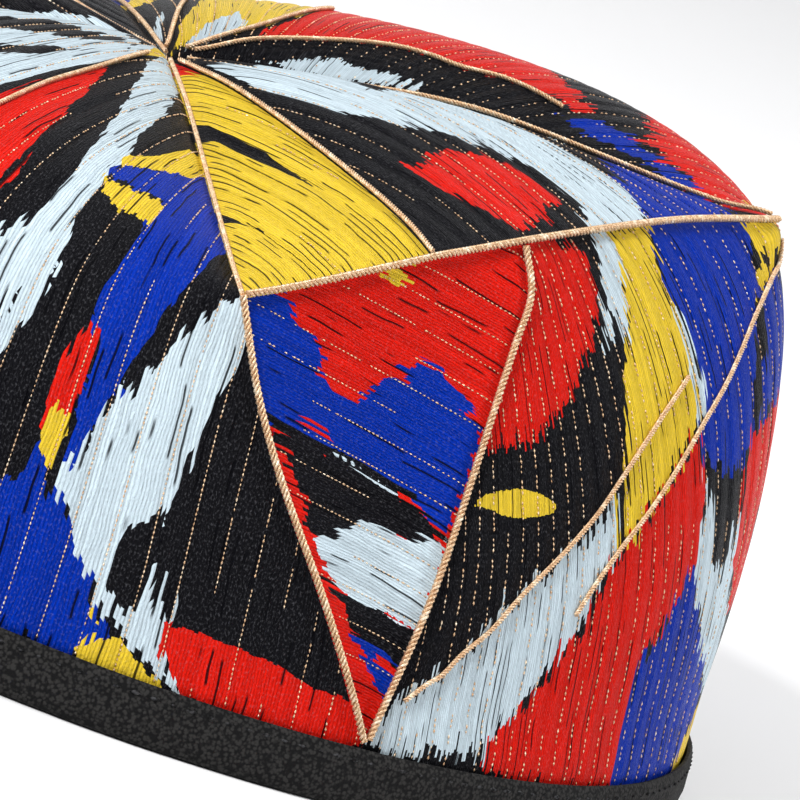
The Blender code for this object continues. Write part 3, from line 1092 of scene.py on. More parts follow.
# Each shape is a dye and the outline that it has in the photograph's view, painted in this order over a ground.
# The outlines are in pixels of the 800-pixel view, and may run out of it.
WEDGE_SHAPES: Shapes = [
    (Dye.BLACK, [
        (186, 120), (209, 125), (237, 138), (268, 153), (306, 180), (281, 170), (250, 158), (217, 142), (190, 139),
    ]),
    (Dye.BLACK, [(205, 207), (217, 209), (237, 219), (255, 228), (235, 223), (219, 221), (208, 220)]),
    (Dye.RED, [(150, 45), (194, 58), (217, 71), (196, 71), (170, 74)]),
]
PANEL_SHAPES: Shapes = [
    (Dye.PALE, [
        (200, 66), (240, 65), (282, 65), (324, 70), (350, 75), (375, 79), (407, 84), (440, 92), (474, 102),
        (496, 112), (522, 129), (551, 142), (576, 156), (613, 177), (629, 191), (652, 224), (594, 232), (584, 207),
        (565, 191), (541, 172), (514, 157), (474, 143), (434, 130), (380, 119), (330, 107), (280, 94), (240, 80),
    ]),
    (Dye.RED, [
        (407, 169), (447, 151), (482, 153), (514, 167), (541, 185), (562, 201), (551, 207), (546, 215), (522, 228),
        (493, 215), (466, 199), (434, 185),
    ]),
    (Dye.BLUE, [
        (602, 159), (606, 140), (643, 155), (685, 178), (740, 206), (715, 222), (652, 224), (629, 191), (613, 172),
    ]),
]
PLEAT_SHAPES: Shapes = [
    (Dye.BLUE, [
        (230, 290), (280, 285), (297, 317), (314, 338), (323, 363), (335, 388), (348, 399), (356, 393), (377, 379),
        (394, 375), (409, 376), (417, 365), (440, 374), (457, 393), (471, 414), (484, 428), (474, 470), (460, 505),
        (446, 537), (433, 522), (400, 490), (366, 465), (332, 443), (300, 428), (268, 417), (245, 390), (238, 345),
    ]),
    (Dye.YELLOW, [(383, 270), (411, 258), (408, 272), (400, 285), (392, 279)]),
    (Dye.BLACK, [
        (268, 415), (300, 429), (332, 444), (366, 466), (400, 491), (433, 523), (450, 544), (436, 556), (420, 545),
        (400, 537), (352, 543), (316, 537), (290, 512), (280, 480), (270, 450),
    ]),
    (Dye.PALE, [(330, 446), (366, 468), (400, 496), (392, 494), (360, 472), (330, 454)]),
    (Dye.PALE, [
        (300, 538), (332, 533), (370, 526), (400, 535), (420, 540), (448, 544), (440, 579), (430, 604), (416, 640),
        (400, 624), (370, 607), (339, 589), (315, 566),
    ]),
    (Dye.BLACK, [
        (325, 588), (370, 606), (400, 624), (425, 632), (415, 662), (400, 690), (378, 655), (352, 632), (335, 619),
    ]),
    (Dye.BLUE, [(345, 640), (367, 645), (388, 665), (402, 676), (400, 701), (383, 706), (367, 688), (350, 663)]),
    (Dye.RED, [
        (262, 440), (287, 458), (303, 502), (313, 543), (326, 584), (345, 604), (351, 635), (366, 672), (383, 706),
        (392, 728), (370, 745), (345, 700), (320, 637), (295, 575), (270, 500),
    ]),
]
RIGHT_SHAPES: Shapes = [
    (Dye.BLACK, [
        (520, 230), (640, 212), (790, 200), (805, 240), (795, 420), (750, 600), (715, 810), (560, 805), (360, 772),
        (345, 748), (430, 575), (500, 370),
    ]),
    (Dye.BLACK, [
        (165, 52), (215, 72), (300, 78), (400, 94), (560, 140), (720, 225), (800, 215), (770, 130), (600, 20),
        (500, -40), (300, -60), (200, -50), (178, 0),
    ]),
    (Dye.RED, [
        (526, 232), (556, 230), (562, 244), (585, 250), (590, 262), (597, 282), (597, 300), (594, 330), (587, 355),
        (578, 372), (572, 395), (560, 412), (550, 428), (535, 438), (517, 443), (500, 448), (474, 455), (480, 420),
        (505, 350), (522, 290),
    ]),
    (Dye.PALE, [
        (592, 226), (609, 224), (618, 252), (624, 275), (630, 302), (632, 332), (627, 343), (622, 330), (618, 312),
        (614, 338), (611, 318), (607, 348), (605, 300), (601, 262),
    ]),
    (Dye.BLUE, [
        (648, 216), (728, 206), (746, 214), (751, 243), (757, 267), (760, 290), (772, 262), (790, 290), (790, 340),
        (784, 390), (768, 412), (755, 433), (745, 466), (729, 470), (706, 459), (703, 440), (703, 395), (697, 362),
        (686, 335), (677, 307), (665, 285), (659, 258),
    ]),
    (Dye.PALE, [(679, 310), (690, 332), (699, 360), (706, 385), (707, 418), (699, 410), (692, 370)]),
    (Dye.YELLOW, [
        (608, 222), (648, 219), (659, 258), (665, 285), (676, 307), (686, 343), (692, 370), (700, 390), (701, 419),
        (690, 442), (675, 472), (660, 494), (646, 516), (632, 535), (617, 556), (622, 520), (622, 487), (627, 464),
        (627, 400), (628, 350), (629, 320), (625, 285), (620, 255),
    ]),
    (Dye.YELLOW, [
        (732, 205), (770, 192), (786, 225), (786, 245), (775, 250), (768, 255), (757, 250), (752, 235), (745, 224),
    ]),
    (Dye.YELLOW, [(757, 268), (766, 262), (772, 270), (765, 290), (758, 285)]),
    (Dye.BLACK, [(757, 305), (766, 300), (764, 400), (758, 440), (752, 440), (755, 380)]),
    (Dye.RED, [
        (698, 436), (705, 464), (709, 487), (706, 515), (696, 563), (683, 591), (670, 619), (655, 645), (640, 668),
        (630, 701), (622, 732), (617, 757), (604, 800), (560, 800), (510, 792), (485, 764), (489, 747), (507, 724),
        (528, 701), (543, 681), (566, 655), (584, 630), (596, 604), (609, 573), (624, 551), (645, 525), (670, 489),
        (688, 459),
    ]),
    (Dye.BLUE, [
        (692, 573), (698, 594), (701, 630), (704, 676), (701, 701), (693, 724), (681, 749), (676, 762), (660, 800),
        (604, 800), (617, 757), (622, 732), (630, 701), (640, 668), (655, 645), (670, 619), (683, 591),
    ]),
    (Dye.PALE, [
        (709, 484), (714, 502), (714, 558), (721, 579), (729, 553), (734, 528), (732, 579), (727, 617), (721, 645),
        (716, 668), (711, 696), (704, 704), (702, 655), (701, 617), (696, 584), (695, 568), (704, 533), (709, 510),
    ]),
    (Dye.YELLOW, [
        (704, 698), (713, 694), (706, 744), (698, 770), (685, 802), (660, 802), (676, 762), (681, 749), (693, 724),
        (701, 701),
    ]),
    (Dye.RED, [
        (768, 415), (786, 392), (780, 440), (768, 490), (756, 530), (747, 570), (737, 605), (731, 604), (733, 570),
        (738, 540), (744, 500), (748, 470), (755, 433),
    ]),
    (Dye.PALE, [
        (621, 492), (599, 522), (568, 553), (538, 581), (502, 617), (461, 658), (426, 686), (396, 706), (375, 722),
        (360, 745), (372, 758), (400, 760), (425, 757), (451, 755), (476, 749), (489, 745), (507, 722), (528, 699),
        (543, 679), (566, 653), (584, 628), (596, 602), (609, 571), (617, 556), (620, 530),
    ]),
    (Dye.YELLOW, [
        (469, 505), (486, 496), (500, 491), (520, 489), (537, 492), (552, 500), (561, 509), (551, 515), (535, 518),
        (515, 518), (500, 515), (490, 508),
    ], 0.06),
    (Dye.BLUE, [(565, 117), (594, 118), (645, 146), (690, 178), (728, 206), (700, 194), (648, 164), (600, 141)]),
    (Dye.RED, [(648, 146), (645, 118), (650, 100), (715, 128), (755, 155), (785, 205), (727, 207), (690, 178)]),
    (Dye.RED, [
        (253, 40), (262, 30), (303, 16), (340, 0), (380, 4), (442, 22), (492, 36), (530, 54), (562, 80), (592, 113),
        (575, 110), (541, 90), (482, 74), (447, 60), (400, 48), (368, 42), (320, 40),
    ]),
    (Dye.PALE, [(262, 62), (300, 60), (330, 58), (347, 66), (372, 70), (400, 76), (410, 88), (350, 80), (300, 72)]),
    (Dye.YELLOW, [(172, 50), (180, 25), (195, 6), (230, -12), (310, -8), (330, 4), (299, 15), (241, 32), (196, 46)]),
    (Dye.PALE, [(186, 44), (205, 24), (240, 12), (244, 24), (220, 38), (196, 47)]),
]
LEFT_SHAPES: Shapes = [
    (Dye.BLACK, [
        (163, 52), (184, 80), (205, 150), (232, 235), (250, 296), (268, 400), (292, 490), (318, 560), (352, 660),
        (372, 752), (300, 750), (134, 695), (0, 645), (-50, 625), (-50, 560), (-60, 420), (-40, 300), (-60, 200),
        (-20, 95), (53, 70), (110, 56),
    ]),
    (Dye.BLACK, [
        (163, 54), (110, 62), (53, 86), (-20, 115), (-120, 160), (-300, 150), (-330, -20), (-100, -50), (40, -6),
        (120, 20), (152, 44),
    ]),
    (Dye.PALE, [
        (-160, -12), (0, 6), (51, 11), (102, 16), (128, 34), (146, 46), (102, 36), (51, 24), (0, 20), (-160, 6),
    ]),
    (Dye.PALE, [
        (-160, 24), (0, 28), (51, 34), (102, 44), (146, 50), (128, 57), (77, 66), (40, 74), (0, 82), (-160, 120),
    ]),
    (Dye.BLACK, [(-120, 50), (0, 44), (50, 46), (90, 50), (40, 52), (0, 54), (-120, 70)]),
    (Dye.RED, [
        (108, 70), (100, 66), (53, 78), (0, 96), (-60, 118), (-130, 150), (-170, 260), (-60, 235), (0, 182),
        (15, 171), (33, 145), (59, 117), (84, 94),
    ]),
    (Dye.PALE, [
        (160, 57), (170, 60), (176, 74), (179, 90), (172, 104), (154, 120), (138, 138), (125, 161), (110, 166),
        (102, 184), (84, 204), (66, 230), (46, 255), (38, 276), (15, 298), (0, 327), (-60, 420), (-90, 520),
        (-140, 560), (-150, 450), (-100, 350), (-50, 280), (0, 232), (26, 222), (46, 202), (66, 176), (87, 153),
        (107, 130), (125, 105), (143, 79), (150, 61),
    ]),
    (Dye.PALE, [(58, 262), (30, 302), (0, 347), (-14, 366), (-2, 330), (28, 286)]),
    (Dye.YELLOW, [
        (122, 158), (130, 155), (160, 155), (190, 148), (205, 158), (208, 171), (190, 177), (158, 170), (124, 165),
    ], 0.45),
    (Dye.YELLOW, [(106, 178), (166, 203), (160, 216), (149, 229), (140, 218), (122, 209), (103, 195)], 0.45),
    (Dye.BLUE, [
        (111, 169), (122, 165), (158, 170), (190, 177), (212, 172), (217, 196), (224, 220), (230, 247), (201, 270),
        (186, 286), (163, 309), (153, 332), (133, 357), (122, 378), (115, 400), (102, 412), (89, 430), (77, 448),
        (69, 469), (72, 440), (74, 425), (69, 410), (74, 400), (84, 370), (97, 339), (99, 321), (97, 304), (115, 276),
        (133, 250), (145, 230), (166, 205), (165, 201), (112, 176),
    ], 0.3),
    (Dye.RED, [
        (93, 321), (98, 330), (97, 340), (84, 370), (74, 400), (68, 408), (60, 405), (50, 412), (48, 402), (59, 370),
        (74, 349), (89, 327),
    ]),
    (Dye.YELLOW, [(50, 412), (60, 404), (69, 406), (74, 425), (70, 442), (61, 454), (51, 479), (45, 469), (41, 441)]),
    (Dye.PALE, [
        (250, 294), (254, 322), (244, 350), (232, 375), (216, 400), (200, 436), (180, 478), (170, 500), (158, 516),
        (150, 520), (140, 522), (128, 530), (116, 556), (108, 590), (116, 598), (122, 610), (136, 616), (148, 608),
        (160, 598), (168, 578), (168, 617), (163, 645), (166, 668), (174, 696), (163, 687), (140, 655), (120, 630),
        (101, 608), (84, 573), (74, 540), (66, 515), (59, 497), (51, 482), (61, 469), (77, 454), (87, 438), (97, 418),
        (113, 398), (138, 378), (158, 362), (179, 339), (196, 319), (219, 303),
    ], 0.8),
    (Dye.BLUE, [
        (38, 452), (46, 474), (56, 494), (66, 515), (74, 540), (84, 573), (99, 602), (113, 632), (112, 642),
        (77, 656), (61, 660), (26, 652), (0, 642), (-70, 622), (-160, 600), (-170, 500), (-60, 488), (0, 479),
        (24, 472),
    ]),
    (Dye.YELLOW, [
        (74, 652), (89, 646), (97, 638), (118, 637), (133, 657), (148, 674), (167, 690), (150, 698), (102, 682),
        (74, 670),
    ], 0.35),
    (Dye.RED, [
        (165, 627), (179, 626), (212, 639), (237, 648), (281, 667), (311, 687), (342, 698), (362, 705), (372, 742),
        (344, 754), (230, 724), (176, 702), (168, 668), (163, 645),
    ], 0.16),
    (Dye.YELLOW, [(-200, 330), (-150, 300), (-170, 420), (-215, 500), (-235, 470)]),
    (Dye.RED, [(-240, 300), (-205, 310), (-240, 460), (-225, 560), (-280, 590), (-290, 420)]),
    (Dye.BLUE, [(-330, 180), (-270, 190), (-300, 330), (-330, 480), (-380, 420), (-370, 280)]),
    (Dye.PALE, [(-300, 60), (-240, 110), (-260, 180), (-310, 170)]),
]
REAR_WEDGE_SHAPES: Shapes = [
    (Dye.PALE, [(0, 8), (60, 10), (100, 18), (130, 35), (120, 40), (80, 30), (0, 22)]),
]
REAR_PANEL_SHAPES: Shapes = [
    (Dye.PALE, [(-120, 12), (0, 12), (60, 14), (100, 20), (140, 42), (100, 36), (40, 30), (-120, 30)]),
]


def signed_distance(points: np.ndarray, outline: np.ndarray) -> np.ndarray:
    """How far points are inside an outline.

    Args:
        points: Points in the pattern.
        outline: The closed outline's corners.

    Returns:
        The distance to the outline, positive inside it.
    """
    nearest = np.full(len(points), 1e9)
    inside = np.zeros(len(points), bool)
    for start, end in zip(outline, np.roll(outline, -1, axis=0)):
        edge, rays = end - start, points - start
        share = np.clip(rays @ edge / max(edge @ edge, 1e-9), 0, 1)
        nearest = np.minimum(nearest, np.sum((rays - share[:, None] * edge) ** 2, axis=1))
        if end[1] != start[1]:
            crosses = (points[:, 1] > start[1]) != (points[:, 1] > end[1])
            inside ^= crosses & (rays[:, 0] < rays[:, 1] * edge[0] / edge[1])
    return np.where(inside, 1.0, -1.0) * np.sqrt(nearest)


class Finder:
    """Finds places on sheets of cloth, from the photograph's pixels or from the pattern."""

    def __init__(self, sheets: Sequence[Sheet]) -> None:
        """Gathers the vertices of the sheets.

        Args:
            sheets: The sheets to find places on.
        """
        self.points = np.concatenate([s.points.reshape(-1, 3) for s in sheets])
        self.normals = np.concatenate([s.normals.reshape(-1, 3) for s in sheets])
        self.pattern = np.concatenate([s.pattern.reshape(-1, 2) for s in sheets])
        placed_points = to_frame(self.points)
        self.pixels = VIEW.pixels(placed_points)
        seen = np.nonzero(VIEW.faces(placed_points, self.normals))[0]
        self.by_pixel = self.tree(self.pixels, seen)
        self.by_pattern = self.tree(self.pattern, np.arange(len(self.points)))

    @staticmethod
    def tree(places: np.ndarray, chosen: np.ndarray) -> KDTree:
        """A search tree over chosen flat places.

        Args:
            places: The flat places.
            chosen: The numbers of those to use.

        Returns:
            The tree.
        """
        tree = KDTree(len(chosen))
        for k in chosen:
            tree.insert((places[k][0], places[k][1], 0.0), int(k))
        tree.balance()
        return tree

    def carry(self, tree: KDTree, places: np.ndarray, wanted: Sequence, values: np.ndarray) -> np.ndarray:
        """Values at wanted places, from a flat fit to the vertices near each.

        Args:
            tree: The search tree to use.
            places: The place of each vertex in the same terms.
            wanted: The wanted places.
            values: The value of each vertex.

        Returns:
            One row of values for each wanted place.
        """
        found = []
        for x, y in wanted:
            near = [k for _, k, _ in tree.find_n((x, y, 0.0), 28)]
            middle, level = places[near].mean(0), values[near].mean(0)
            rays = places[near] - middle
            spread = rays.T @ rays
            slope = np.linalg.solve(spread + 0.02 * np.trace(spread) * np.eye(2), rays.T @ (values[near] - level))
            found.append(level + (np.array([x, y]) - middle) @ slope)
        return np.array(found)

    def pattern_at(self, pixels: Pixels) -> np.ndarray:
        """The pattern's places under pixels of the photograph's view."""
        return self.carry(self.by_pixel, self.pixels, pixels, self.pattern)

    def surface_at(self, pattern: np.ndarray) -> tuple[np.ndarray, np.ndarray]:
        """The points and outward directions at places of the pattern."""
        both = self.carry(self.by_pattern, self.pattern, pattern, np.hstack([self.points, self.normals]))
        return both[:, :3], unit(both[:, 3:])


class DyePlan:
    """Paints the dyed shapes over a ground, and gives each dye's field at every vertex."""

    def __init__(self, ground: Dye) -> None:
        """Starts with one dye all over."""
        self.ground = ground
        self.shapes: list[tuple[Dye, np.ndarray, float]] = []

    def paint(self, finder: Finder, shapes: Sequence[tuple]) -> "DyePlan":
        """Adds shapes that are given in the photograph's pixels.

        Args:
            finder: Finds the pixels on the cloth.
            shapes: Dyes with their outlines and, for some, how ragged they are.

        Returns:
            This plan.
        """
        for dye, outline, *ragged in shapes:
            self.shapes.append((dye, finder.pattern_at(outline), ragged[0] if ragged else 1.0))
        return self

    def fields(self, sheet: Sheet) -> np.ndarray:
        """Each dye's field on a sheet, and how squarely the nearest edge crosses the threads.

        Args:
            sheet: The sheet.

        Returns:
            Six values for each vertex: the five fields, then the crossing.
        """
        flat = sheet.pattern.reshape(-1, 2)
        values = np.full((len(flat), len(Dye)), -20.0)
        values[:, self.ground.value] = 20.0
        nearest, frayed = np.full(len(flat), 20.0), np.ones(len(flat))
        for dye, outline, ragged in self.shapes:
            inside = np.clip(signed_distance(flat, outline), -20.0, 20.0)
            closer = np.abs(inside) < np.where(inside > 0, 20.0, nearest)
            nearest = np.where(closer, np.abs(inside), nearest)
            frayed = np.where(closer, ragged, frayed)
            for other in Dye:
                if other is dye:
                    values[:, other.value] = np.maximum(values[:, other.value], inside)
                else:
                    values[:, other.value] = np.minimum(values[:, other.value], -inside)
        grid = values.reshape(sheet.pattern.shape[:2] + (len(Dye),))
        u_row, u_column = np.gradient(sheet.across)
        v_row, v_column = np.gradient(sheet.along)
        area = u_row * v_column - u_column * v_row
        area = np.where(np.abs(area) < 1e-6, 1e-6, area)
        f_row, f_column = np.gradient(grid, axis=(0, 1))
        change = (-u_column[..., None] * f_row + u_row[..., None] * f_column) / area[..., None]
        crossing = np.clip(np.abs(change).max(-1), 0.0, 1.0) * frayed.reshape(grid.shape[:2])
        return np.concatenate([grid, crossing[..., None]], axis=-1)


# Pieces


def new_piece(name: str, points: np.ndarray, faces: Sequence, edges: Sequence = ()) -> bpy.types.Object:
    """A new object with a mesh, at the origin.

    Args:
        name: The object's name.
        points: Its vertices in metres.
        faces: Its faces.
        edges: Its loose edges.

    Returns:
        The object, in the scene.
    """
    mesh = bpy.data.meshes.new(name)
    mesh.from_pydata([tuple(p) for p in points], [tuple(e) for e in edges], [tuple(int(v) for v in f) for f in faces])
    mesh.update()
    made = bpy.data.objects.new(name, mesh)
    bpy.context.scene.collection.objects.link(made)
    return made


def settle(piece: bpy.types.Object, slot: str, *nodes: str) -> None:
    """Fixes a finished piece to the cap.

    Args:
        piece: The piece.
        slot: The material slot that its finish belongs to, which is logged.
        nodes: The CAD nodes that it stands for.
    """
    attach(piece, "root")
    if nodes:
        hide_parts(*nodes)
    LOG.info("%s: %d faces, slot %s", piece.name, len(piece.data.polygons), slot)


@dataclass
class EmbroideredCloth:
    """The eight pieces of quilted cloth, each a closed shell with its stitched outer face and its lining."""

    cloth: FineCloth
    valley: float = 0.50
    valley_reach: float = 1.5
    groove: float = 0.26
    groove_reach: float = 0.55
    line_space: float = 3.6
    surfaces: dict[str, tuple] = field(default_factory=dict)

    def weld(self, sheets: Sequence[Sheet]) -> tuple[dict[str, np.ndarray], list[list[int]]]:
        """Joins sheets into one surface.

        Args:
            sheets: The sheets, which share some boundary points.

        Returns:
            The values of each vertex by name, and the faces.
        """
        shapes = {"points": (-1, 3), "normals": (-1, 3), "across": (-1,), "along": (-1,), "fields": (-1, 6)}
        stack = {
            name: np.concatenate([getattr(sheet, name).reshape(shape) for sheet in sheets])
            for name, shape in shapes.items()
        }
        _, first, number = np.unique(np.round(stack["points"], 2), axis=0, return_index=True, return_inverse=True)
        number = number.reshape(-1)
        faces, start = [], 0
        for sheet in sheets:
            rows, columns = sheet.across.shape
            ids = number[start : start + rows * columns].reshape(rows, columns)
            start += rows * columns
            corners = np.stack([ids[:-1, :-1], ids[1:, :-1], ids[1:, 1:], ids[:-1, 1:]], -1).reshape(-1, 4)
            for loop in corners.tolist():
                ring = [v for k, v in enumerate(loop) if v != loop[k - 1]]
                if len(ring) >= 3:
                    faces.append(ring)
        values = {name: array[first] for name, array in stack.items()}
        probe = faces[len(faces) // 2]
        corner = values["points"][probe]
        turn = np.cross(corner[1] - corner[0], corner[2] - corner[0])
        if turn @ values["normals"][probe[0]] < 0:
            faces = [face[::-1] for face in faces]
        return values, faces

    def pressed(self, values: dict[str, np.ndarray], border: Sequence[tuple[int, int]]) -> np.ndarray:
        """The outer face, drawn in along its border and grooved along its lines of stitches.

        Args:
            values: The surface's values by name.
            border: Its open edges.

        Returns:
            The outer face's points.
        """
        base = values["points"]
        tree = KDTree(len(border))
        for a, _ in border:
            tree.insert(base[a], a)
        tree.balance()
        apart = np.array([tree.find(point)[2] for point in base])
        share = values["across"] / self.line_space - 0.5
        share = np.abs(share - np.round(share)) * self.line_space
        fade = np.clip((apart - 1.0) / 2.0, 0, 1)
        valley = self.valley * np.exp(-((apart / self.valley_reach) ** 2))
        groove = self.groove * np.exp(-((share / self.groove_reach) ** 2)) * fade
        return base - values["normals"] * (valley + groove)[:, None]

    def build(self, name: str, kinds: Sequence[str], half: Half, finishes: Sequence, slot: str) -> None:
        """Makes one piece of cloth.

        Args:
            name: The piece's name.
            kinds: The sheets that it is made of.
            half: The half that it belongs to.
            finishes: Its outer material and its lining.
            slot: Its material slot.
        """
        values, faces = self.weld([self.cloth.sheets[(half, kind)] for kind in kinds])
        base, normals = values["points"], values["normals"]
        edges = {(a, b) for face in faces for a, b in zip(face, face[1:] + face[:1])}
        border = [edge for edge in edges if (edge[1], edge[0]) not in edges]
        outer = self.pressed(values, border)
        inner = base - SIZES.cloth * normals
        count = len(base)
        back = [[v + count for v in face[::-1]] for face in faces]
        rim = [[b, a, a + count, b + count] for a, b in border]
        made = new_piece(f"cloth_{name}", to_frame(np.vstack([outer, inner])), faces + back + rim)
        mesh = made.data
        for finish in finishes:
            mesh.materials.append(finish)
        mesh.polygons.foreach_set("material_index", [0] * len(faces) + [1] * (len(back) + len(rim)))
        loops = np.zeros(len(mesh.loops), np.int32)
        mesh.loops.foreach_get("vertex_index", loops)
        both = np.stack([values["across"], values["along"]], -1) * MM
        flat = mesh.uv_layers.new(name="threads")
        flat.data.foreach_set("uv", np.vstack([both, both])[loops].astype(np.float32).reshape(-1))
        for attribute, part in (("dye_a", slice(0, 3)), ("dye_b", slice(3, 6))):
            layer = mesh.attributes.new(attribute, "FLOAT_VECTOR", "POINT")
            data = np.vstack([values["fields"][:, part]] * 2)
            layer.data.foreach_set("vector", data.astype(np.float32).reshape(-1))
        mesh.shade_smooth()
        mesh.set_sharp_from_angle(angle=math.radians(50.0))
        self.surfaces[name] = (outer, normals, values["across"], values["along"], faces)
        settle(made, slot, name)


def node_group(
    name: str, inputs: Sequence[tuple[str, str, object]]
) -> tuple[NodeBench, bpy.types.Node, bpy.types.Node]:
    """A new Geometry Nodes tree.

    Args:
        name: The tree's name.
        inputs: The name, socket type and default of each input after the geometry.

    Returns:
        A bench on the tree, its input node and its output node.
    """
    tree = bpy.data.node_groups.new(name, "GeometryNodeTree")
    tree.interface.new_socket("Geometry", in_out="INPUT", socket_type="NodeSocketGeometry")
    tree.interface.new_socket("Geometry", in_out="OUTPUT", socket_type="NodeSocketGeometry")
    for label, kind, default in inputs:
        socket = tree.interface.new_socket(label, in_out="INPUT", socket_type=kind)
        if default is not None:
            socket.default_value = default
    bench = NodeBench(tree)
    return bench, bench.add("NodeGroupInput"), bench.add("NodeGroupOutput")


def run_nodes(helper: bpy.types.Object, tree: bpy.types.NodeTree, values: dict[str, object]) -> bpy.types.Object:
    """Runs a tree on a helper object and keeps the result as a plain mesh.

    Args:
        helper: The object that carries the input, which is removed.
        tree: The tree.
        values: The inputs to set, by name.

    Returns:
        The finished object, under the helper's name.
    """
    name = helper.name
    modifier = helper.modifiers.new("making", "NODES")
    modifier.node_group = tree
    for item in tree.interface.items_tree:
        if item.item_type == "SOCKET" and item.in_out == "INPUT" and item.name in values:
            modifier[item.identifier] = values[item.name]
    bpy.context.view_layer.update()
    mesh = bpy.data.meshes.new_from_object(helper.evaluated_get(bpy.context.evaluated_depsgraph_get()))
    old = helper.data
    bpy.data.objects.remove(helper)
    bpy.data.meshes.remove(old)
    mesh.name = name
    made = bpy.data.objects.new(name, mesh)
    bpy.context.scene.collection.objects.link(made)
    return made


@dataclass
class GoldCords:
    """Three-ply metallic cords, laid over seams and along lines of the cloth."""

    finish: bpy.types.Material
    ply: float = 0.27
    lay: float = 0.28
    pitch: float = 2.2
    step: float = 0.22
    lift: float = 0.36

    def tree(self) -> bpy.types.NodeTree:
        """The Geometry Nodes tree that winds three plies round a path.

        Returns:
            The tree, made the first time that it is asked for.
        """
        if "twisted_cord" in bpy.data.node_groups:
            return bpy.data.node_groups["twisted_cord"]
        bench, given, result = node_group(
            "twisted_cord",
            [
                ("Ply Radius", "NodeSocketFloat", self.ply * MM),
                ("Lay Radius", "NodeSocketFloat", self.lay * MM),
                ("Pitch", "NodeSocketFloat", self.pitch * MM),
                ("Step", "NodeSocketFloat", self.step * MM),
                ("Material", "NodeSocketMaterial", None),
            ],
        )
        line = bench.add("GeometryNodeMeshToCurve", {"Mesh": given.outputs["Geometry"]}).outputs[0]
        even = {"Curve": line, "Length": given.outputs["Step"]}
        path = bench.add("GeometryNodeResampleCurve", even, mode="LENGTH")
        gone = bench.add("GeometryNodeSplineParameter").outputs["Length"]
        turn = bench.math("MULTIPLY", bench.math("DIVIDE", gone, given.outputs["Pitch"]), 2 * math.pi)
        tilted = bench.add("GeometryNodeSetCurveTilt", {"Curve": path.outputs[0], "Tilt": turn}).outputs[0]
        ring = bench.add("GeometryNodeCurvePrimitiveCircle", {"Resolution": 6, "Radius": given.outputs["Ply Radius"]})
        profile = bench.add("GeometryNodeJoinGeometry")
        for ply in range(3):
            angle = 2 * math.pi * ply / 3
            x = bench.math("MULTIPLY", given.outputs["Lay Radius"], math.cos(angle))
            y = bench.math("MULTIPLY", given.outputs["Lay Radius"], math.sin(angle))
            place = {"Geometry": ring.outputs[0], "Translation": bench.vector(x, y)}
            moved = bench.add("GeometryNodeTransform", place)
            bench.tree.links.new(moved.outputs[0], profile.inputs[0])
        wound = bench.add("GeometryNodeCurveToMesh", {"Curve": tilted, "Profile Curve": profile.outputs[0]})
        wound.inputs["Fill Caps"].default_value = True
        smooth = bench.add("GeometryNodeSetShadeSmooth", {"Geometry": wound.outputs[0]}).outputs[0]
        real = bench.add("GeometryNodeRealizeInstances", {"Geometry": smooth}).outputs[0]
        dressed = bench.add("GeometryNodeSetMaterial", {"Geometry": real, "Material": given.outputs["Material"]})
        bench.tree.links.new(dressed.outputs[0], result.inputs[0])
        return bench.tree

    def build(
        self,
        name: str,
        line: np.ndarray,
        normals: np.ndarray,
        cuts: tuple[float, float],
        *nodes: str,
        thin: float = 1.0,
    ) -> None:
        """Makes one cord.

        Args:
            name: The piece's name.
            line: The line on the cloth that it follows.
            normals: The outward directions along the line.
            cuts: How much shorter it is at its two ends.
            nodes: The CAD nodes that it stands for.
            thin: Its thickness against the usual one.
        """
        raised = line + self.lift * (0.5 + 0.5 * thin) * unit(normals)
        along = np.r_[0, np.cumsum(np.linalg.norm(np.diff(raised, axis=0), axis=1))]
        wanted = np.linspace(cuts[0], along[-1] - cuts[1], max(int(along[-1]), 8))
        path = np.stack([np.interp(wanted, along, raised[:, k]) for k in range(3)], -1)
        helper = new_piece(name, to_frame(path), [], [(k, k + 1) for k in range(len(path) - 1)])
        sizes = {
            "Ply Radius": self.ply * thin * MM,
            "Lay Radius": self.lay * thin * MM,
            "Pitch": self.pitch * thin * MM,
            "Step": self.step * MM,
            "Material": self.finish,
        }
        settle(run_nodes(helper, self.tree(), sizes), "gold_cord", *nodes)


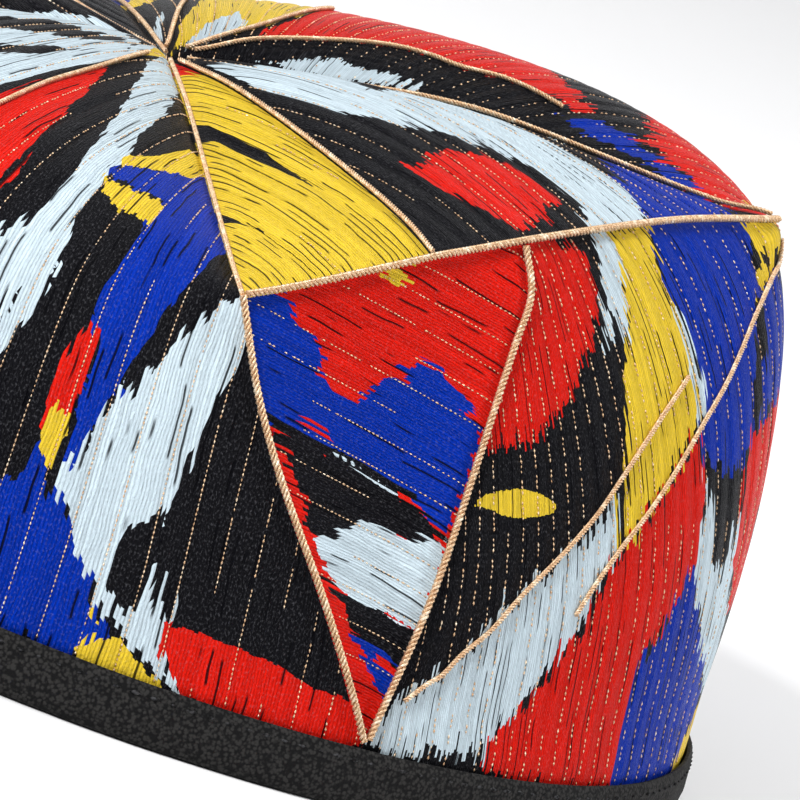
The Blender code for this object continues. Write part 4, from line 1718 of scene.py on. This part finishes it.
@dataclass
class RunningStitches:
    """Small stitches in gold thread, in lines that follow the satin threads."""

    finish: bpy.types.Material
    length: float = 0.30
    width: float = 0.12
    space: float = 0.74
    patch: float = 14.0
    lift: float = 0.05
    least: float = 0.75
    most: float = 1.25
    seed: int = 7

    def tree(self) -> bpy.types.NodeTree:
        """The Geometry Nodes tree that sets a bead on each point.

        Returns:
            The tree, made the first time that it is asked for.
        """
        if "running_stitch" in bpy.data.node_groups:
            return bpy.data.node_groups["running_stitch"]
        bench, given, result = node_group(
            "running_stitch",
            [
                ("Length", "NodeSocketFloat", self.length * MM),
                ("Width", "NodeSocketFloat", self.width * MM),
                ("Seed", "NodeSocketInt", self.seed),
                ("Material", "NodeSocketMaterial", None),
            ],
        )
        ball = bench.add("GeometryNodeMeshUVSphere", {"Segments": 5, "Rings": 2, "Radius": 1.0}).outputs[0]
        turned = {"Geometry": ball, "Rotation": (0.0, math.pi / 2, 0.0)}
        bead = bench.add("GeometryNodeTransform", turned).outputs[0]
        size = bench.vector(given.outputs["Length"], given.outputs["Width"], given.outputs["Width"])
        shaped = bench.add("GeometryNodeTransform", {"Geometry": bead, "Scale": size}).outputs[0]

        def named(attribute: str) -> Socket:
            """A vector that the points carry under a name."""
            node = bench.add("GeometryNodeInputNamedAttribute", {"Name": attribute}, data_type="FLOAT_VECTOR")
            return node.outputs["Attribute"]

        first = bench.add("FunctionNodeAlignRotationToVector", {"Vector": named("run")}, axis="X")
        second = bench.add(
            "FunctionNodeAlignRotationToVector",
            {"Rotation": first.outputs[0], "Vector": named("outward")},
            axis="Z",
            pivot_axis="X",
        )
        vary = bench.add("FunctionNodeRandomValue", data_type="FLOAT")
        bench.put(vary.inputs[2], self.least)
        bench.put(vary.inputs[3], self.most)
        bench.put(vary.inputs["Seed"], given.outputs["Seed"])
        placed_beads = bench.add(
            "GeometryNodeInstanceOnPoints",
            {
                "Points": given.outputs["Geometry"],
                "Instance": shaped,
                "Rotation": second.outputs[0],
                "Scale": vary.outputs[1],
            },
        ).outputs[0]
        real = bench.add("GeometryNodeRealizeInstances", {"Geometry": placed_beads}).outputs[0]
        smooth = bench.add("GeometryNodeSetShadeSmooth", {"Geometry": real}).outputs[0]
        dressed = bench.add("GeometryNodeSetMaterial", {"Geometry": smooth, "Material": given.outputs["Material"]})
        bench.tree.links.new(dressed.outputs[0], result.inputs[0])
        return bench.tree

    def lattice(self, surface: tuple, line_space: float, kept: float) -> tuple[np.ndarray, np.ndarray, np.ndarray]:
        """Where the stitches sit.

        Args:
            surface: A piece's outer points, normals, thread map and faces.
            line_space: The space between two lines.
            kept: The share of each line that shows.

        Returns:
            The stitches' points, run directions and outward directions.
        """
        points, normals, across, along, faces = surface
        split = np.array([[f[0], f[k], f[k + 1]] for f in faces for k in range(1, len(f) - 1)])
        u, v = across[split] / line_space, along[split] / self.space
        line, dot = np.ceil(u.min(1) - 0.5) + 0.5, np.ceil(v.min(1))
        near = (line <= u.max(1)) & (dot <= v.max(1)) & (np.ptp(u, axis=1) < 1)
        split, u, v, line, dot = split[near], u[near], v[near], line[near], dot[near]
        e1, e2 = (np.stack([u[:, k] - u[:, 0], v[:, k] - v[:, 0]], -1) for k in (1, 2))
        area = e1[:, 0] * e2[:, 1] - e1[:, 1] * e2[:, 0]
        area = np.where(np.abs(area) < 1e-9, 1e-9, area)
        ray = np.stack([line - u[:, 0], dot - v[:, 0]], -1)
        a = (ray[:, 0] * e2[:, 1] - ray[:, 1] * e2[:, 0]) / area
        b = (e1[:, 0] * ray[:, 1] - e1[:, 1] * ray[:, 0]) / area
        chance = np.sin(line * 12.9898 + np.floor(dot * self.space / self.patch) * 78.233) * 43758.5453
        chosen = (a >= 0) & (b >= 0) & (a + b < 1) & (chance - np.floor(chance) < kept)
        split, a, b, area, e1, e2 = split[chosen], a[chosen], b[chosen], area[chosen], e1[chosen], e2[chosen]
        p0, p1, p2 = (points[split[:, k]] for k in range(3))
        spots = p0 + a[:, None] * (p1 - p0) + b[:, None] * (p2 - p0)
        run = (-e2[:, 0] / area)[:, None] * (p1 - p0) + (e1[:, 0] / area)[:, None] * (p2 - p0)
        return spots, unit(run), unit(normals[split].sum(1))

    def build(
        self,
        name: str,
        spots: np.ndarray,
        run: np.ndarray,
        outward: np.ndarray,
        slot: str = "gold_cord",
        size: float = 1.0,
    ) -> None:
        """Makes one set of stitches.

        Args:
            name: The piece's name.
            spots: Where each stitch sits, in millimetres.
            run: The direction that each stitch runs in.
            outward: The outward direction at each stitch.
            slot: The material slot.
            size: Their size against the usual one.
        """
        helper = new_piece(name, to_frame(spots + outward * self.lift), [])
        for attribute, data in (("run", run), ("outward", outward)):
            layer = helper.data.attributes.new(attribute, "FLOAT_VECTOR", "POINT")
            layer.data.foreach_set("vector", data.astype(np.float32).reshape(-1))
        sizes = {
            "Length": self.length * size * MM,
            "Width": self.width * size * MM,
            "Seed": self.seed,
            "Material": self.finish,
        }
        settle(run_nodes(helper, self.tree(), sizes), slot)


@dataclass
class Binding:
    """The crepe binding: a folded bias strip round the rim, with its top stitching."""

    finish: bpy.types.Material
    turns: int = 900
    pebble: float = 0.10
    ripple: float = 0.16
    stitch_count: int = 220
    stitch_size: float = 2.3

    def profile(self) -> np.ndarray:
        """The folded strip's section, as radius and height.

        Returns:
            The section's points, closely spaced.
        """
        s = SIZES
        out, low = s.rim_radius, -s.band_height
        inner = out - 2 * s.leg - 3 * s.gap - s.cloth
        corners = [
            (out - s.leg + 0.1, 0.0), (out - 0.5, 0.12), (out - 0.05, -0.45), (out + 0.22, -1.6), (out + 0.42, -3.2),
            (out + s.band_bulge, -4.9), (out + 0.45, -6.6), (out + 0.1, -7.6), (out - 0.6, low), (inner + 0.6, low),
            (inner - 0.1, -7.6), (inner - 0.3, -4.9), (inner - 0.15, -2.0), (inner, -0.45), (inner + 0.4, 0.05),
            (inner + s.leg, 0.0), (inner + s.leg, low + s.sole), (out - s.leg + 0.1, low + s.sole),
        ]
        fine = []
        for start, end in zip(corners, corners[1:] + corners[:1]):
            length = math.dist(start, end)
            steps = max(int(length / 0.6), 1)
            fine += [np.array(start) + (np.array(end) - np.array(start)) * k / steps for k in range(steps)]
        return np.array(fine)

    def build(self, stitches: RunningStitches) -> None:
        """Makes the binding and its top stitching.

        Args:
            stitches: The stitches of its sewing thread.
        """
        profile = self.profile()
        size, points = len(profile), []
        for turn in range(self.turns):
            angle = 2 * math.pi * turn / self.turns
            for radius, height in profile:
                place = Vector((radius * math.cos(angle), radius * math.sin(angle), height))
                outside = radius > SIZES.rim_radius - 0.7
                rough = noise.noise(place * 1.7) * self.pebble + noise.noise(place * 0.16) * self.ripple
                grow = rough * (1.0 if outside and -7.9 < height < -0.2 else 0.25 if height > -7.9 else 0.0)
                points.append(((radius + grow) * math.cos(angle), (radius + grow) * math.sin(angle), height))
        faces = []
        for turn in range(self.turns):
            low, high = turn * size, ((turn + 1) % self.turns) * size
            faces += [[low + k, low + (k + 1) % size, high + (k + 1) % size, high + k] for k in range(size)]
        made = new_piece("binding", to_frame(np.array(points)), faces)
        made.data.materials.append(self.finish)
        made.data.shade_smooth()
        made.data.set_sharp_from_angle(angle=math.radians(60.0))
        settle(made, "black_binding", "band")
        angles = 2 * np.pi * np.arange(self.stitch_count) / self.stitch_count
        flat = 0 * angles
        outward = np.stack([np.cos(angles), np.sin(angles), flat], -1)
        run = np.stack([-np.sin(angles), np.cos(angles), flat], -1)
        spots = outward * (SIZES.rim_radius + 0.12) + np.array([0, 0, -1.35])
        stitches.build("binding_top_stitch", spots, run, outward, "black_binding", size=self.stitch_size)


@dataclass(frozen=True)
class Lamp:
    """One soft square light, in metres and watts, aimed at the middle of the cap."""

    name: str
    place: tuple[float, float, float]
    width: float
    power: float

    def build(self) -> None:
        """Hangs the light."""
        data = bpy.data.lights.new(self.name, "AREA")
        data.size, data.energy = self.width, self.power
        lamp = bpy.data.objects.new(self.name, data)
        place = Vector(self.place)
        aim = Vector((0.0, 0.0, 0.04)) - place
        lamp.matrix_world = Matrix.Translation(place) @ aim.to_track_quat("-Z", "Y").to_matrix().to_4x4()
        bpy.context.scene.collection.objects.link(lamp)


@dataclass
class Studio:
    """The plain sweep, the soft lights and the photograph's camera."""

    finish: bpy.types.Material
    width: float = 3.0
    front: float = 1.6
    bend_start: float = 1.3
    bend: float = 0.6
    top: float = 2.6
    glow: float = 0.34
    lamps: tuple[Lamp, ...] = (
        Lamp("key_light", (-0.85, -0.85, 1.15), 0.4, 25.0),
        Lamp("side_light", (1.3, -0.1, 0.9), 0.5, 9.0),
        Lamp("top_light", (0.3, 0.3, 1.6), 0.7, 9.0),
        Lamp("floor_light", (0.9, 1.2, 0.9), 1.0, 1.5),
    )

    def lay_sweep(self) -> None:
        """Makes the floor, which bends up into a backdrop."""
        line = [(-self.front, 0.0), (self.bend_start, 0.0)]
        for k in range(1, 13):
            angle = math.pi / 2 * k / 12
            line.append((self.bend_start + self.bend * math.sin(angle), self.bend * (1 - math.cos(angle))))
        line.append((self.bend_start + self.bend, self.top))
        points = [(side * self.width, y, z) for y, z in line for side in (-1, 1)]
        faces = [[2 * k, 2 * k + 1, 2 * k + 3, 2 * k + 2] for k in range(len(line) - 1)]
        sweep = new_piece("stage_sweep", np.array(points), faces)
        sweep.data.materials.append(self.finish)
        sweep.data.shade_smooth()

    def build(self) -> None:
        """Makes the stage, the lights and the camera."""
        self.lay_sweep()
        world = bpy.data.worlds.new("studio")
        world.use_nodes = True
        ground = world.node_tree.nodes["Background"]
        ground.inputs["Color"].default_value = (1.0, 1.0, 1.0, 1.0)
        ground.inputs["Strength"].default_value = self.glow
        bpy.context.scene.world = world
        for lamp in self.lamps:
            lamp.build()
        bpy.context.scene.view_settings.view_transform = "Standard"
        VIEW.build()


# Lines of gold cord that lie on the side pieces away from their seams, in the photograph's pixels.
RIGHT_CORDS: dict[str, Pixels] = {
    "slant_long": [(784, 235), (779, 258), (770, 280), (753, 320), (727, 381), (701, 427), (675, 472), (646, 516),
                   (621, 548), (594, 586), (573, 619)],
    "slant_low": [(689, 375), (666, 410), (646, 441), (623, 476), (598, 513), (572, 544), (523, 594), (490, 631),
                  (461, 655), (440, 677), (426, 685), (401, 704)],
    "dome_near": [(190, 53), (207, 50), (253, 41), (320, 41), (385, 46), (425, 55), (460, 68), (500, 78), (530, 90),
                  (565, 110)],
    "dome_mid": [(182, 50), (196, 46), (241, 32), (299, 15), (339, 9)],
    "dome_far": [(166, 50), (172, 35), (188, 0)],
}
LEFT_CORDS: dict[str, Pixels] = {
    "dome_side": [(150, 56), (125, 60), (100, 68), (53, 82), (0, 105), (-60, 130)],
}


class Skullcap:
    """The whole dressed cap."""

    THIN = {"ridge": 0.7, "crown": 0.75, "corner": 0.68}

    def __init__(self) -> None:
        """Solves the cloth, divides it finely and makes the finishes."""
        self.cloth = FineCloth(ClothNet())
        self.gold = GoldMetalThread().build("gold_metal_thread")
        self.lining = PlainLining().build("plain_lining")
        self.satin = {
            "gore": SatinThread().build("satin_gore"),
            "wedge": SatinThread(slits=0.46).build("satin_wedge"),
            "crown": SatinThread().build("satin_crown"),
            "pleat": SatinThread().build("satin_pleat"),
        }
        self.finders = {
            half: Finder([self.cloth.sheets[(half, "wall")], self.cloth.sheets[(half, "dome")]]) for half in Half
        }

    def dye(self) -> None:
        """Gives every sheet its dye fields."""
        sheets = self.cloth.sheets
        seen = {Half.FRONT: RIGHT_SHAPES, Half.REAR: LEFT_SHAPES}
        gores = {
            half: DyePlan(Dye.BLACK)
            .paint(self.finders[half.other], seen[half.other])
            .paint(self.finders[half], seen[half])
            for half in Half
        }
        plans: dict[str, DyePlan] = {}
        for kind, ground, shapes in (
            ("wedge", Dye.YELLOW, WEDGE_SHAPES),
            ("panel", Dye.BLACK, PANEL_SHAPES),
            ("pleat", Dye.RED, PLEAT_SHAPES),
        ):
            plans[kind] = DyePlan(ground).paint(Finder([sheets[(Half.FRONT, kind)]]), shapes)
        for (half, kind), sheet in sheets.items():
            plan = plans.get(kind, gores[half])
            if half is Half.REAR and kind in ("wedge", "panel"):
                shapes = REAR_WEDGE_SHAPES if kind == "wedge" else REAR_PANEL_SHAPES
                plan = DyePlan(Dye.BLACK).paint(Finder([sheet]), shapes)
            sheet.fields = plan.fields(sheet)

    def sew(self) -> None:
        """Makes the pieces of cloth and their running stitches."""
        pieces = EmbroideredCloth(self.cloth)
        stitches = RunningStitches(self.gold)
        for half in Half:
            for name, kinds, kind, kept in (
                (half.gore, ("wall", "dome"), "gore", 0.85),
                (f"crown_wedge_{half.value}", ("wedge",), "wedge", 0.10),
                (f"crown_panel_{half.value}", ("panel",), "crown", 0.62),
                (f"pleat_{half.value}", ("pleat",), "pleat", 0.75),
            ):
                slot = f"embroidered_{kind}"
                pieces.build(name, kinds, half, (self.satin[kind], self.lining), slot)
                spots = stitches.lattice(pieces.surfaces[name], pieces.line_space, kept)
                stitches.build(f"{name}_running_stitches", *spots)
        # The binding and its sewing thread are black crepe, lighter on the raised grain as painted highlight.
        Binding(BlackCrepe().build("black_crepe")).build(
            RunningStitches(BlackCrepe(linear(12, 12, 13), linear(60, 60, 62)).build("black_sewing_thread"))
        )

    @staticmethod
    def joined(*parts: tuple[Sheet, object]) -> tuple[np.ndarray, np.ndarray]:
        """Joins rows or columns of sheets into one line.

        Args:
            parts: Sheets, each with the index of the row or column to take.

        Returns:
            The line's points and its outward directions, with no point twice.
        """
        line = np.concatenate([sheet.points[part] for sheet, part in parts])
        out = np.concatenate([sheet.normals[part] for sheet, part in parts])
        fresh = np.r_[True, np.linalg.norm(np.diff(line, axis=0), axis=1) > 0.01]
        return line[fresh], out[fresh]

    def lay_cords(self) -> None:
        """Lays the gold cords over the seams and across the side pieces."""
        cords = GoldCords(self.gold)
        sheets = self.cloth.sheets
        far = SIZES.far * FineCloth.COLUMN_STEPS["gore"]
        body = SIZES.rows * FineCloth.ROW_STEPS + 1
        for half in Half:
            wedge, panel, pleat = (sheets[(half, kind)] for kind in ("wedge", "panel", "pleat"))
            wall, dome = sheets[(half, "wall")], sheets[(half, "dome")]
            run, first = self.joined, (slice(None), 0)
            lines = {
                "seam": (run((pleat, first)), (0.0, 1.0)),
                "corner": (run((wedge, first)), (2.0, -0.3)),
                "edge": (run((pleat, (0, slice(None))), (wall, (0, slice(0, far + 1)))), (0.6, 0.6)),
                "pleat": (run((wall, (slice(0, body), 0))), (0.8, 1.2)),
                "ridge": (run((wedge, (slice(None), -1))), (3.0, 1.2)),
                "crown": (run((dome, first)), (2.6, 1.2)),
            }
            for kind, ((line, out), cuts) in lines.items():
                name = f"{kind}_cord_{half.value}"
                nodes = () if kind == "corner" else (name,)
                cords.build(f"gold_{name}", line, out, cuts, *nodes, thin=self.THIN.get(kind, 1.0))
        for seen, lines in ((Half.FRONT, RIGHT_CORDS), (Half.REAR, LEFT_CORDS)):
            for name, pixels in lines.items():
                flat = self.finders[seen].pattern_at(pixels)
                flat = resample(np.hstack([flat, np.zeros((len(flat), 1))]), 60)[:, :2]
                for half in Half:
                    if half is seen or name.startswith("slant"):
                        line, out = self.finders[half].surface_at(flat)
                        cords.build(f"gold_{name}_{half.gore}", line, out, (0.5, 0.5), thin=0.7)

    def build(self) -> None:
        """Makes everything in order."""
        self.dye()
        self.sew()
        self.lay_cords()


def main() -> None:
    """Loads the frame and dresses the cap."""
    logging.basicConfig(level=logging.INFO, format="%(name)s %(message)s")
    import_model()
    Skullcap().build()
    Studio(PaleCard().build("pale_card")).build()


if __name__ == "__main__":
    main()
